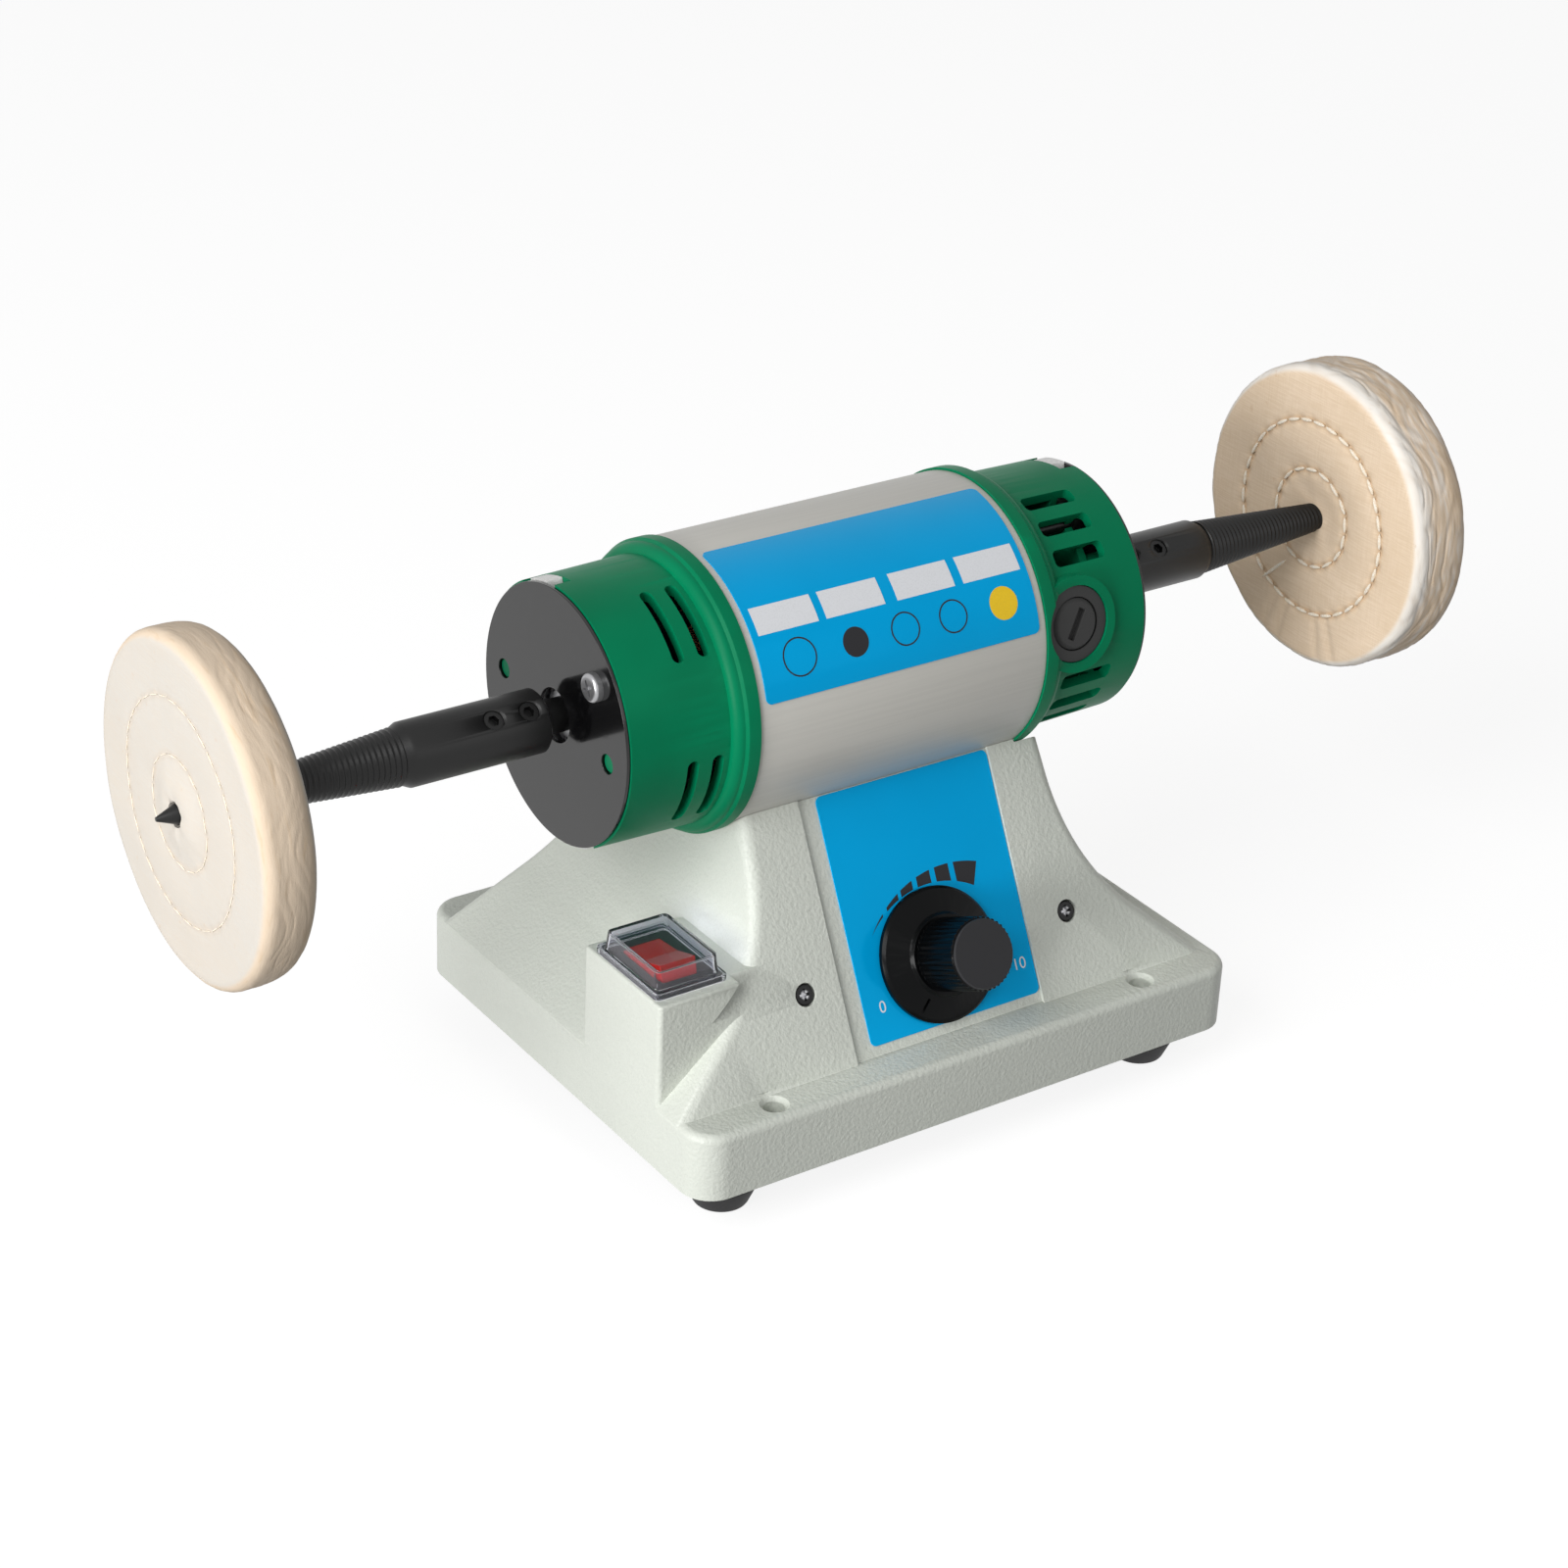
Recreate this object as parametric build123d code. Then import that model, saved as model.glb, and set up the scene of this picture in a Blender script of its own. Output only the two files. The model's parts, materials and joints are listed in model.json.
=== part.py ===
from build123d import *
import os
from math import atan2, cos, degrees, hypot, pi, radians, sin, sqrt, tan

# Double-ended bench polishing lathe, in millimetres.
# +X runs along the spindles, +Y to the back, +Z up. Z = 0 is the bench under the feet, X = 0 is midway
# between the two spindle points, and Y = 0 is the motor axis.

# ---- base casting -------------------------------------------------------------------------------
FOOT_H = 14.5              # rubber foot, bench to plinth
PLINTH_X = 7.5             # centre of the plinth, right of the middle of the spindles
PLINTH_L = 194.7
PLINTH_W = 156.2
PLINTH_H = 21.1
PLINTH_CORNER_R = 10.0
PLINTH_EDGE_R = 2.5
WALL = 4.0                 # casting wall
PED_X = 5.3                # centre of the pedestal
PED_TOP_HALF = 53.6        # half width of the pedestal where it meets the motor
PED_FOOT_HALF = 94.4       # half width where the flare meets the plinth
PED_DRAFT = 4.5            # degrees from vertical near the top
FLARE_ANGLE = 49.2         # degrees from vertical near the plinth
FLARE_R = 59.0
PED_INSET_Y = 11.5         # plinth edge to the foot of the sloping faces
SADDLE_Y = 30.3            # half depth where the sloping faces meet the motor tube
PED_OVER = 8.0             # metal above that line before the bed of the tube is cut
ARRIS_R = 4.0
SADDLE_WALL = 8.0          # metal between the motor tube and the hollow below it
RECESS_X = 5.5             # shallow recess in the front for the label
RECESS_HALF = 34.0
RECESS_DEPTH = 1.0
PANEL_X = 7.2              # centre line of the front screws
BLOCK_FRONT_Y = -55.2      # switch block, flush with the plinth's left side
BLOCK_BACK_Y = -15.1
BLOCK_TOP_RISE = 32.3      # above the plinth
BLOCK_EDGE_R = 1.5
BLOCK_TOP_EDGE_R = 0.9
BLOCK_WALL = 3.5
BLOCK_CLEAR = 5.5          # front corner of the block, left of the pedestal's flare
BENCH_BOLT_X = 6.0         # centre of the bench bolt pattern
BENCH_BOLT_INSET = (30.7, 7.2)    # plinth end and side to the bolt, on a centred pattern
BENCH_BOLT_R = 3.2
BENCH_BOSS_R = 6.5
BENCH_MOUTH = 1.2          # chamfer at the mouth of each bench bolt hole

# ---- bottom plate and feet ----------------------------------------------------------------------
PLATE_T = 1.5
PLATE_GAP = 0.3
PLATE_SCREW_INSET = 8.15   # plinth end to screw
PLATE_SCREW_DY = 60.0
PLATE_SCREW_L = 7.5
PLATE_SCREW_HOLE = 8.0
PLATE_BOSS_R = 5.0
FOOT_INSET = (20.05, 19.1)    # plinth end and side to the middle of a foot
FOOT_TOP_R = 11.2
FOOT_BOTTOM_R = 8.0
FOOT_TAPER_H = 7.5         # the foot narrows below this
FOOT_EDGE_R = 1.0
FOOT_RECESS_R = 4.4
FOOT_RECESS_H = 5.0
FOOT_SCREW_HEAD_R = 3.9

# ---- motor --------------------------------------------------------------------------------------
AXIS_RISE = 99.5           # motor axis above the plinth
TUBE_R = 42.5
TUBE_T = 2.2
TUBE_X0 = -50.9
TUBE_X1 = 49.6
SEAT_GAP = 0.1             # between the tube and its saddle
FLANGE_GAP = 0.3           # between the right flange and the casting
CAP_END_DROP = 3.7         # tube surface down to the end cap at the disc
CAP_ROOT_DROP = 3.1        # tube surface down to the end cap beside its flange
CAP_T = 3.0
CAP_L = 39.4               # tube end to disc
FLANGE_RISE = 0.7          # flange above the tube
FLANGE_L = 4.7
COVE_R = 3.0               # hollow rounding between flange and cap
SPIGOT_L = 6.0             # part of the cap inside the tube
SPIGOT_GAP = 0.1
DISC_INSET = 0.6           # rim of the cap to the rim of the disc
DISC_T = 1.2
DISC_BORE_R = 8.0
DISC_HOLE_R = 2.9
DISC_HOLE_PCR = 28.0       # radius of the circle through the disc holes
DISC_HOLE_HALF = 23.0      # degrees either side of the cap's own axis
POST_R = 4.2
PIP_R = 2.5                # locating pip that shows in the two holes with no screw
PIP_SINK = 0.8
WEB_DEPTH = 13.0           # disc to web
WEB_T = 2.5
WEB_BORE_R = 18.0
NOTCH_W = 18.0
NOTCH_DEPTH = 5.3
DISC_SCREW_L = 8.0
DISC_SCREW_HOLE = 9.0
DISC_SCREW_TURN = 30.0     # of the cross slot
LEFT_TURN = 17.5           # degrees that the left cap is turned about the motor axis, up from the front
RIGHT_TURN = 12.3          # the same for the right cap and the brushes

LEFT_SLOT_X = (-62.3, -70.4)
LEFT_SLOT_W = 3.7
LEFT_SLOT_MID = 38.4       # degrees from the cap's own axis to the middle of each slot
LEFT_SLOT_SPAN = 35.0      # degrees from end to end
RIGHT_SLOT_X = 69.2
RIGHT_SLOT_L = 18.4
RIGHT_SLOT_W = 5.2
RIGHT_SLOT_ANGLES = (28.7, 43.1, 57.5)
RIGHT_SLOT_CORNER_R = 1.6

# ---- bearings and their bridges -----------------------------------------------------------------
BEARING_R = 13.0
BEARING_W = 8.0
BEARING_BORE_R = 5.0
BALL_R = 2.38
BALL_PITCH_R = 9.0
BALL_COUNT = 7
BALL_GAP = 0.06
RING_WALL = 2.2
CAGE_T = 1.0
CAGE_EDGE = 0.6            # cage beyond the balls
BRIDGE_ARM_T = 5.0
BRIDGE_ARM_W = 9.0
BRIDGE_HUB_R = 16.5
BRIDGE_HUB_L = 11.0
BRIDGE_GAP = 0.2
BRIDGE_LIP = 2.5           # step that keeps the bearing in
BEARING_SINK = 1.8         # bridge face to bearing
POST_GAP = 0.3             # round a post of the cap
BRIDGE_SCREW_R = 25.0      # radius of the circle through the bridge screws
BRIDGE_SCREW_L = 8.0
BRIDGE_SCREW_SINK = 2.8
BRIDGE_HEAD_R = 3.4
BRIDGE_HEAD_H = 2.4
BRIDGE_HEAD_GAP = 0.4

# ---- stator and rotor ---------------------------------------------------------------------------
STACK_X0 = -34.0
STACK_X1 = 26.0
YOKE_R = 29.6
BORE_R = 22.5
AIR_GAP = 0.6
POLE_HALF = 29.0           # degrees either side of the pole's middle
SHOE_HALF = 60.0
SHOE_T = 1.4
COIL_R0 = 24.1
COIL_R1 = 29.3
COIL_HALF = 60.0
COIL_OVERHANG = 9.0
COIL_GAP = 0.3
COIL_POLE_GAP = 1.0        # degrees between the coil and its pole
SHAFT_R = 5.0
SHAFT_BODY_R = 6.0
SHAFT_CHAMFER = 0.6
SLOT_COUNT = 12
SLOT_W = 3.2
SLOT_FLOOR_R = 11.0
WIRE_GAP = 0.1
WIRE_TOP_R = 20.5
END_TURN_R0 = 7.0
END_TURN_L = 9.5
END_TURN_EDGE_R = 1.5
COMM_R = 12.0
COMM_X0 = 48.0
COMM_X1 = 72.0
COMM_RISER_R = 14.0
COMM_RISER_L = 2.5
COMM_BARS = 24
COMM_GROOVE = 0.5
COMM_GROOVE_DEPTH = 0.9
FAN_R = 29.0
FAN_X0 = -72.0
FAN_X1 = -60.0
FAN_HUB_R = 10.0
FAN_BLADES = 9
FAN_T = 1.5
THROUGH_BOLT_PCR = 32.0
THROUGH_BOLT_TURN = 62.0
THROUGH_BOLT_R = 2.0
THROUGH_BOLT_HEAD_R = 3.4
THROUGH_NUT_FLAT = 7.0
THROUGH_NUT_T = 3.0
THROUGH_NUT_TURN = 210.0   # puts a flat of the nut towards the tube

# ---- brushes ------------------------------------------------------------------------------------
BRUSH_X = 62.2
BOSS_R = 14.5
BOSS_SINK = 2.0            # flat face of the boss below the top of the tube
BOSS_DEPTH = 8.5           # the depths and heights that follow are from that face
HOLDER_FLANGE_R = 11.4
HOLDER_SINK = 0.6
HOLDER_DEPTH = 3.9
HOLDER_R = 9.4
HOLDER_FLOOR = 14.4        # from the motor axis
BRUSH_W = 6.8
BRUSH_L = 9.8
BRUSH_TOP = 24.0           # from the motor axis
BRUSH_GAP = 0.15
BRUSH_SLIDE = 0.1          # between the brush and its holder
HOLDER_GAP = 0.2
BRUSH_END_GAP = 0.3        # between the cap stem and the floor of its bore
BRUSH_CAP_GAP = 0.25
BRUSH_CAP_R = 7.8
BRUSH_CAP_RISE = 0.1
BRUSH_CAP_STEM_R = 6.1
BRUSH_CAP_SEAT_DEPTH = 2.5
BRUSH_CAP_STEM_DEPTH = 7.1
BRUSH_CAP_EDGE = 1.1
BRUSH_CAP_SLOT_L = 9.8
BRUSH_CAP_SLOT_W = 2.4
BRUSH_CAP_SLOT_DEPTH = 1.6
BRUSH_CAP_SLOT_TURN = 60.0
SPRING_R = 3.2
SPRING_WIRE = 0.7

# ---- spindles and buffs -------------------------------------------------------------------------
SLEEVE_GAP = 5.65          # left disc to sleeve; the right spindle is its mirror image
SLEEVE_R = 9.3
SLEEVE_L = 42.2
SLEEVE_CHAMFER = 0.8
SPINDLE_THREAD_L = 73.6    # sleeve to point
SHOULDER_L = 4.0
THREAD_START_R = 8.3
THREAD_END_R = 3.4
THREAD_PITCH = 1.65
THREAD_DEPTH = 0.55
POINT_L = 7.0
POINT_R = 0.6
SHAFT_IN_SLEEVE = 28.0
SLEEVE_FIT = 0.02
SET_SCREW_R = 2.9
SET_SCREW_TURN = 50.0      # degrees up from the front
SET_SCREW_SINK = 1.0
SET_SCREW_MOUTH = 0.7      # chamfer at the mouth of its hole
SET_SCREW_KEY_R = 1.7
SET_SCREW_KEY_DEPTH = 2.0
LEFT_SET_SCREWS = (25.2, 36.4)    # from the outer end of the sleeve
RIGHT_SET_SCREWS = (17.7, 28.9)
BUFF_R = 50.0
BUFF_T = 16.5
BUFF_INSET = 23.35         # spindle point to the inner face of the buff
STITCH_R = (16.0, 32.0)    # circles of stitches that draw the cloth in
STITCH_SINK = 0.9
BUFF_HUB_R = 7.0
BUFF_HUB_SINK = 0.3        # face between the hub and the first stitches
BUFF_EDGE_R = 2.0
BUFF_EDGE_SINK = 0.7
BUFF_FIT = 0.05

# ---- controls -----------------------------------------------------------------------------------
LABEL_T = 0.4
FRONT_LABEL_W = 61.5
FRONT_LABEL_H = 74.4
FRONT_LABEL_AT = (1.3, 40.7)    # right of the screws' centre line, up the sloping face
LABEL_CORNER_R = 2.0
MOTOR_LABEL_X0 = -48.4
MOTOR_LABEL_X1 = 47.0
MOTOR_LABEL_LOW = 14.0     # degrees up from the front
MOTOR_LABEL_HIGH = 82.0
KNOB_AT = (-0.9, 23.8)     # right of the screws' centre line, up the sloping face
KNOB_TOP = 24.3            # knob face above the sloping face
KNOB_GAP = 0.5
SKIRT_R = 20.2
SKIRT_T = 2.4
SKIRT_EDGE = 0.9
GRIP_R = 10.9
GRIP_ROOT_R = 12.6
GRIP_ROOT_H = 2.2          # cone between skirt and grip
GRIP_ROOT_EDGE = (0.8, 1.2)
GRIP_DRAFT = 0.5           # how much slimmer the grip is at its face
GRIP_EDGE_H = 1.2
GRIP_FLUTES = 40
FLUTE_DEPTH = 0.45
KNOB_FACE_T = 4.0          # solid end of the grip, over the shaft
POINTER_TURN = -127.4      # where the line on the skirt points at rest, anticlockwise from the right
POINTER_W = 0.8
POINTER_DEPTH = 1.6
POT_SHAFT_R = 3.0
POT_FIT = 0.05
POT_END_GAP = 0.2          # shaft end to the floor of its bore
POT_BUSH_R = 3.6
POT_R = 12.0
POT_L = 9.0
POT_BUSH_END = 0.6         # bush beyond its nut
WIPER_R = 9.0
WIPER_T = 1.2
WIPER_GAP = 0.3
POT_TAG_X = (-5.0, 0.0, 5.0)
POT_TAG_SIZE = (1.6, 6.0, 0.8)
POT_NUT_R = 6.2
POT_NUT_T = 2.2
POT_NUT_GAP = 1.2          # room for the nut under the knob
BRACKET_T = 1.5
BRACKET_W = 110.0
BRACKET_H = 18.0
FRONT_SCREW_DX = 95.0
FRONT_SCREW_RISE = 24.3
FRONT_SCREW_HEAD_R = 3.2
FRONT_SCREW_HEAD_H = 1.8
FRONT_SCREW_SINK = 2.2
FRONT_HEAD_GAP = 0.3
SWITCH_X = -76.9
SWITCH_Y = -35.5
FRAME_W = 22.4             # switch frame, across
FRAME_L = 31.2             # switch frame, front to back
FRAME_T = 1.4
FRAME_CORNER_R = 1.5
SWITCH_BODY_W = 17.4
SWITCH_BODY_L = 26.6
SWITCH_BODY_H = 19.0
SWITCH_WELL_H = 12.0
TERMINAL_SIZE = (0.8, 5.0, 9.0)
TERMINAL_DX = 9.0
TERMINAL_DY = 14.0
ROCKER_W = 11.6
ROCKER_L = 19.0
ROCKER_GAP = 0.5
ROCKER_RISE = 4.4          # rocker ends above its pivot
ROCKER_DIP = 3.4           # rocker middle above its pivot
ROCKER_SIDE_DROP = 0.6     # lower corners below the pivot
ROCKER_KEEL = 3.6
ROCKER_KEEL_HALF = 3.0
ROCKER_TILT = 12.0         # degrees, front end up
PIVOT_DROP = 1.0           # pivot below the top of the block
PIVOT_R = 1.2
PIVOT_FIT = 0.05
PIVOT_END_GAP = 0.2
COVER_FOOT_W = 24.2
COVER_FOOT_L = 33.0
COVER_FOOT_T = 1.9
COVER_W = 21.6
COVER_L = 28.6
COVER_TOP_W = 20.4
COVER_TOP_L = 27.2
COVER_H = 7.6
COVER_T = 0.9
COVER_FOOT_CORNER_R = 2.0
COVER_CORNER_R = 1.8
COVER_ROOM_CORNER_R = 1.2
COVER_FIT = 0.1
COVER_SEAT_GAP = 0.05
BOARD_Y = 6.0
BOARD_L = 88.0
BOARD_W = 56.0
BOARD_T = 1.6
BOARD_RISE = 8.0
BOARD_LEG_R = 3.0
BOARD_LEG_INSET = 5.0
CAPACITOR_AT = (-26.0, 4.0)       # from the middle of the board
CAPACITOR_SIZE = (24.0, 30.0, 16.0)
CHOKE_AT = (6.0, 8.0)
CHOKE_R = 11.0
CHOKE_BORE_R = 4.5
CHOKE_H = 10.0
SINK_AT = (32.0, 0.0)
SINK_SIZE = (12.0, 44.0, 22.0)
SINK_SLOTS = 6
SINK_PITCH = 7.6
SINK_SLOT_W = 3.4
SINK_SLOT_DEPTH = 9.0
SINK_FLOOR = 3.0
GLAND_X = 35.0
GLAND_RISE = 15.0
GLAND_L = 19.2             # outside the casting
GLAND_BORE_R = 3.6
GLAND_R = 7.0
GLAND_HEX_R = 10.2
GLAND_HEX_T = 5.0
GLAND_DOME_R = (8.6, 6.8)         # at the hexagon and at the end
GLAND_NUT_R = 10.0
GLAND_NUT_T = 4.0
GLAND_THREAD_END = 2.0     # thread beyond its nut

# ---- fasteners ----------------------------------------------------------------------------------
M4_R = 2.0
M4_NUT_R = 4.0             # to the corners
M4_NUT_T = 3.0
M5_R = 2.5
M5_HEAD_R = 4.8
M5_HEAD_H = 3.2
HEAD_EDGE = 0.45           # rounding of a pan head, as a share of its height
CROSS_SPAN = 1.1           # length of the cross slot over the head radius
NUT_FIT = 0.03
THREAD_FIT = 0.02
SHANK_FIT = 0.05
SCREW_END = 3.0            # screw beyond what it holds, and room left beyond its end
PAN_HEAD_R = 4.2
PAN_HEAD_H = 2.6
CROSS_W = 0.9
CROSS_DEPTH = 1.4
SCREW_GAP = 0.2
MOTOR_SCREW_X = (-24.0, 16.0)
MOTOR_SCREW_Y = 12.0
MOTOR_SCREW_REACH = 8.0    # into the tube and stator

# ---- worked out from the above ------------------------------------------------------------------
PLINTH_Z = FOOT_H
PLINTH_TOP = PLINTH_Z + PLINTH_H
AXIS_Z = PLINTH_TOP + AXIS_RISE
SADDLE_Z = AXIS_Z - sqrt(TUBE_R**2 - SADDLE_Y**2)
PLINTH_LEFT = PLINTH_X - PLINTH_L / 2
PED_FOOT_Y = PLINTH_W / 2 - PED_INSET_Y
BENCH_BOLT_DX = PLINTH_L - 2 * BENCH_BOLT_INSET[0]
BENCH_BOLT_DY = PLINTH_W - 2 * BENCH_BOLT_INSET[1]
PLATE_SCREW_DX = PLINTH_L - 2 * PLATE_SCREW_INSET
FOOT_DX = PLINTH_L - 2 * FOOT_INSET[0]
FOOT_DY = PLINTH_W - 2 * FOOT_INSET[1]
FRONT_TILT = atan2(PED_FOOT_Y - SADDLE_Y, SADDLE_Z - PLINTH_TOP)
FACE_L = hypot(PED_FOOT_Y - SADDLE_Y, SADDLE_Z - PLINTH_TOP)
BLOCK_TOP = PLINTH_TOP + BLOCK_TOP_RISE
PLATE_TOP = PLINTH_Z + PLATE_T
CAVITY_TOP = AXIS_Z - TUBE_R - SADDLE_WALL
CAP_END_R = TUBE_R - CAP_END_DROP
CAP_ROOT_R = TUBE_R - CAP_ROOT_DROP
FLANGE_R = TUBE_R + FLANGE_RISE
DISC_R = CAP_END_R - DISC_INSET
BOSS_FACE = TUBE_R - BOSS_SINK
HOLDER_FACE = BOSS_FACE - HOLDER_SINK
HOLDER_SEAT = BOSS_FACE - HOLDER_DEPTH
BRUSH_CAP_FACE = BOSS_FACE + BRUSH_CAP_RISE
BRUSH_CAP_SEAT = BOSS_FACE - BRUSH_CAP_SEAT_DEPTH
BRUSH_CAP_END = BOSS_FACE - BRUSH_CAP_STEM_DEPTH
LEFT_DISC_IN = TUBE_X0 - CAP_L
RIGHT_DISC_IN = TUBE_X1 + CAP_L
SLEEVE_IN = DISC_T + SLEEVE_GAP - LEFT_DISC_IN
SLEEVE_OUT = SLEEVE_IN + SLEEVE_L
TIP_X = SLEEVE_OUT + SPINDLE_THREAD_L
THREAD_START = SLEEVE_OUT + SHOULDER_L
THREAD_END = TIP_X - POINT_L
BUFF_IN = TIP_X - BUFF_INSET
LABEL_FACE = LABEL_T - RECESS_DEPTH   # front of the label, from the sloping face
SKIRT_BASE = LABEL_FACE + KNOB_GAP
RING_OUT_R0 = BEARING_R - RING_WALL
RING_IN_R1 = BEARING_BORE_R + RING_WALL
FAR = 300.0                # longer than the whole object, for cuts that go right through
DRILL = 5 * WALL           # cut that goes through one wall
LAP = 1.0                  # how far joined solids reach into each other and a cutter overshoots

MIN_Z = (Align.CENTER, Align.CENTER, Align.MIN)
MAX_Z = (Align.CENTER, Align.CENTER, Align.MAX)

# The sloping front face: local x to the right, local y up the slope, z outward.
FRONT = Plane(
    origin=(PANEL_X, -PED_FOOT_Y, PLINTH_TOP),
    x_dir=(1, 0, 0),
    z_dir=(0, -cos(FRONT_TILT), sin(FRONT_TILT)),
)
REAR = Plane(
    origin=(GLAND_X, PED_FOOT_Y, PLINTH_TOP),
    x_dir=(-1, 0, 0),
    z_dir=(0, cos(FRONT_TILT), sin(FRONT_TILT)),
)


def polar(x, radius, turn):
    """Point about the motor axis, turned up from the front by `turn` degrees."""
    return Vector(x, -radius * cos(radians(turn)), AXIS_Z + radius * sin(radians(turn)))


def radial(x, turn, distance=0.0):
    """Plane square to a radius of the motor, x along the motor, z outward."""
    out = Vector(0, -cos(radians(turn)), sin(radians(turn)))
    return Plane(origin=polar(x, distance, turn), x_dir=(1, 0, 0), z_dir=out)


def rod(radius, x0, x1, centre=None):
    """Cylinder along X between x0 and x1, about the motor axis unless a centre is given."""
    low, high = min(x0, x1), max(x0, x1)
    y, z = (0, AXIS_Z) if centre is None else (centre.Y, centre.Z)
    return Pos(low, y, z) * Rot(0, 90, 0) * Cylinder(radius, high - low, align=MIN_Z)


def tube(outer, inner, x0, x1):
    return rod(outer, x0, x1) - rod(inner, min(x0, x1) - LAP, max(x0, x1) + LAP)


def turned(*profile):
    """Solid of revolution about the motor axis from (x, radius) points."""
    return Pos(0, 0, AXIS_Z) * revolve(Plane.XZ * Polygon(*profile, align=None), Axis.X)


def wedge(turn, half, reach, x0, x1):
    """Slice about the motor axis from turn - half to turn + half degrees."""
    angles = [turn + half * k / 2 for k in (-2, -1, 0, 1, 2)]
    outline = [(0, 0)] + [(-reach * cos(radians(a)), reach * sin(radians(a))) for a in angles]
    face = Plane.YZ * Polygon(*outline, align=None)
    return Pos(min(x0, x1), 0, AXIS_Z) * extrude(face, abs(x1 - x0), dir=(1, 0, 0))


def sector(r0, r1, turn, half, x0, x1):
    """Piece of a ring about the motor axis."""
    return tube(r1, r0, x0, x1) & wedge(turn, half, 2 * r1, min(x0, x1) - LAP, max(x0, x1) + LAP)


def upright(radius, x, y, z0, z1):
    return Pos(x, y, z0) * Cylinder(radius, z1 - z0, align=MIN_Z)


def cross_recess(size):
    """Cutter for a cross slot whose mouth is at z = 0."""
    bar = Box(size, CROSS_W, CROSS_DEPTH, align=MAX_Z)
    return bar + Rot(0, 0, 90) * bar


def pan_screw(shank_r, length, head_r=PAN_HEAD_R, head_h=PAN_HEAD_H):
    """Pan-head screw with its seat at z = 0, head up and shank down."""
    head = Cylinder(head_r, head_h, align=MIN_Z)
    head = fillet(head.edges().group_by(Axis.Z)[-1], head_h * HEAD_EDGE)
    screw = head + Cylinder(shank_r, length, align=MAX_Z)
    return screw - Pos(0, 0, head_h) * cross_recess(head_r * CROSS_SPAN)


def corners(centre_x, dx, dy):
    """Four points of a rectangular pattern."""
    return [(centre_x + sx * dx / 2, sy * dy / 2) for sy in (-1, 1) for sx in (-1, 1)]


def both_sides(half_angle, turn):
    """Turns of a pattern that is mirrored about the cap's own axis, front and rear."""
    return [turn + half_angle, turn - half_angle, turn + 180 + half_angle, turn + 180 - half_angle]


BENCH_BOLTS = corners(BENCH_BOLT_X, BENCH_BOLT_DX, BENCH_BOLT_DY)
PLATE_SCREWS = corners(PLINTH_X, PLATE_SCREW_DX, PLATE_SCREW_DY)
FEET = corners(PLINTH_X, FOOT_DX, FOOT_DY)
MOTOR_SCREWS = [(x, y) for x in MOTOR_SCREW_X for y in (-MOTOR_SCREW_Y, MOTOR_SCREW_Y)]


# ---- base ---------------------------------------------------------------------------------------
def pedestal_sides(inset):
    """All that lies between the flared left and right sides of the pedestal, set in by `inset`."""
    draft, flare = tan(radians(PED_DRAFT)), tan(radians(FLARE_ANGLE))
    top_half = PED_TOP_HALF - inset / cos(radians(PED_DRAFT))
    foot_half = PED_FOOT_HALF - inset / cos(radians(FLARE_ANGLE))
    knee_z = (foot_half - top_half + PLINTH_TOP * flare - SADDLE_Z * draft) / (flare - draft)
    knee_half = top_half + (SADDLE_Z - knee_z) * draft
    low_half = foot_half + (PLINTH_TOP - PLINTH_Z) * flare
    high_half = top_half + (SADDLE_Z - AXIS_Z) * draft
    right = [(low_half, PLINTH_Z), (knee_half, knee_z), (high_half, AXIS_Z)]
    outline = Polygon(*right, *[(-x, z) for x, z in reversed(right)], align=None)
    knees = [v for v in outline.vertices() if abs(v.Y - knee_z) < 0.01]
    side = Pos(PED_X, 0, 0) * (Plane.XZ * fillet(knees, FLARE_R + inset))
    return extrude(side, FAR / 2, both=True)


def pedestal(inset, z_low, z_high):
    """Flared pedestal, set in by `inset` on all four faces."""
    def half_depth(z):
        return PED_FOOT_Y - (z - PLINTH_TOP) * tan(FRONT_TILT) - inset / cos(FRONT_TILT)

    front = [(half_depth(z_low), z_low), (half_depth(z_high), z_high)]
    ends = Plane.YZ * Polygon(*front, *[(-y, z) for y, z in reversed(front)], align=None)
    return pedestal_sides(inset) & extrude(ends, FAR / 2, both=True)


def plinth_block(inset, z_low, z_high):
    size = RectangleRounded(PLINTH_L - 2 * inset, PLINTH_W - 2 * inset, PLINTH_CORNER_R - inset)
    return Pos(PLINTH_X, 0, z_low) * extrude(size, z_high - z_low)


def switch_block(inset, z_low):
    """Block that carries the switch, flush with the left side of the plinth."""
    x1 = PED_X - PED_TOP_HALF + WALL / 2
    corner_a = Vector(PLINTH_LEFT + inset, BLOCK_FRONT_Y + inset, z_low)
    corner_b = Vector(x1, BLOCK_BACK_Y - inset, BLOCK_TOP - inset)
    size = corner_b - corner_a
    return Pos(*(corner_a + size / 2)) * Box(*size)


def block_end(inset):
    """Room before the sloping face, which the front corner of the switch block stays out of."""
    in_front = FRONT * Pos(0, 0, -inset) * Box(FAR, FAR, DRILL, align=MIN_Z)
    return pedestal_sides(-BLOCK_CLEAR - inset) & in_front


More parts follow.
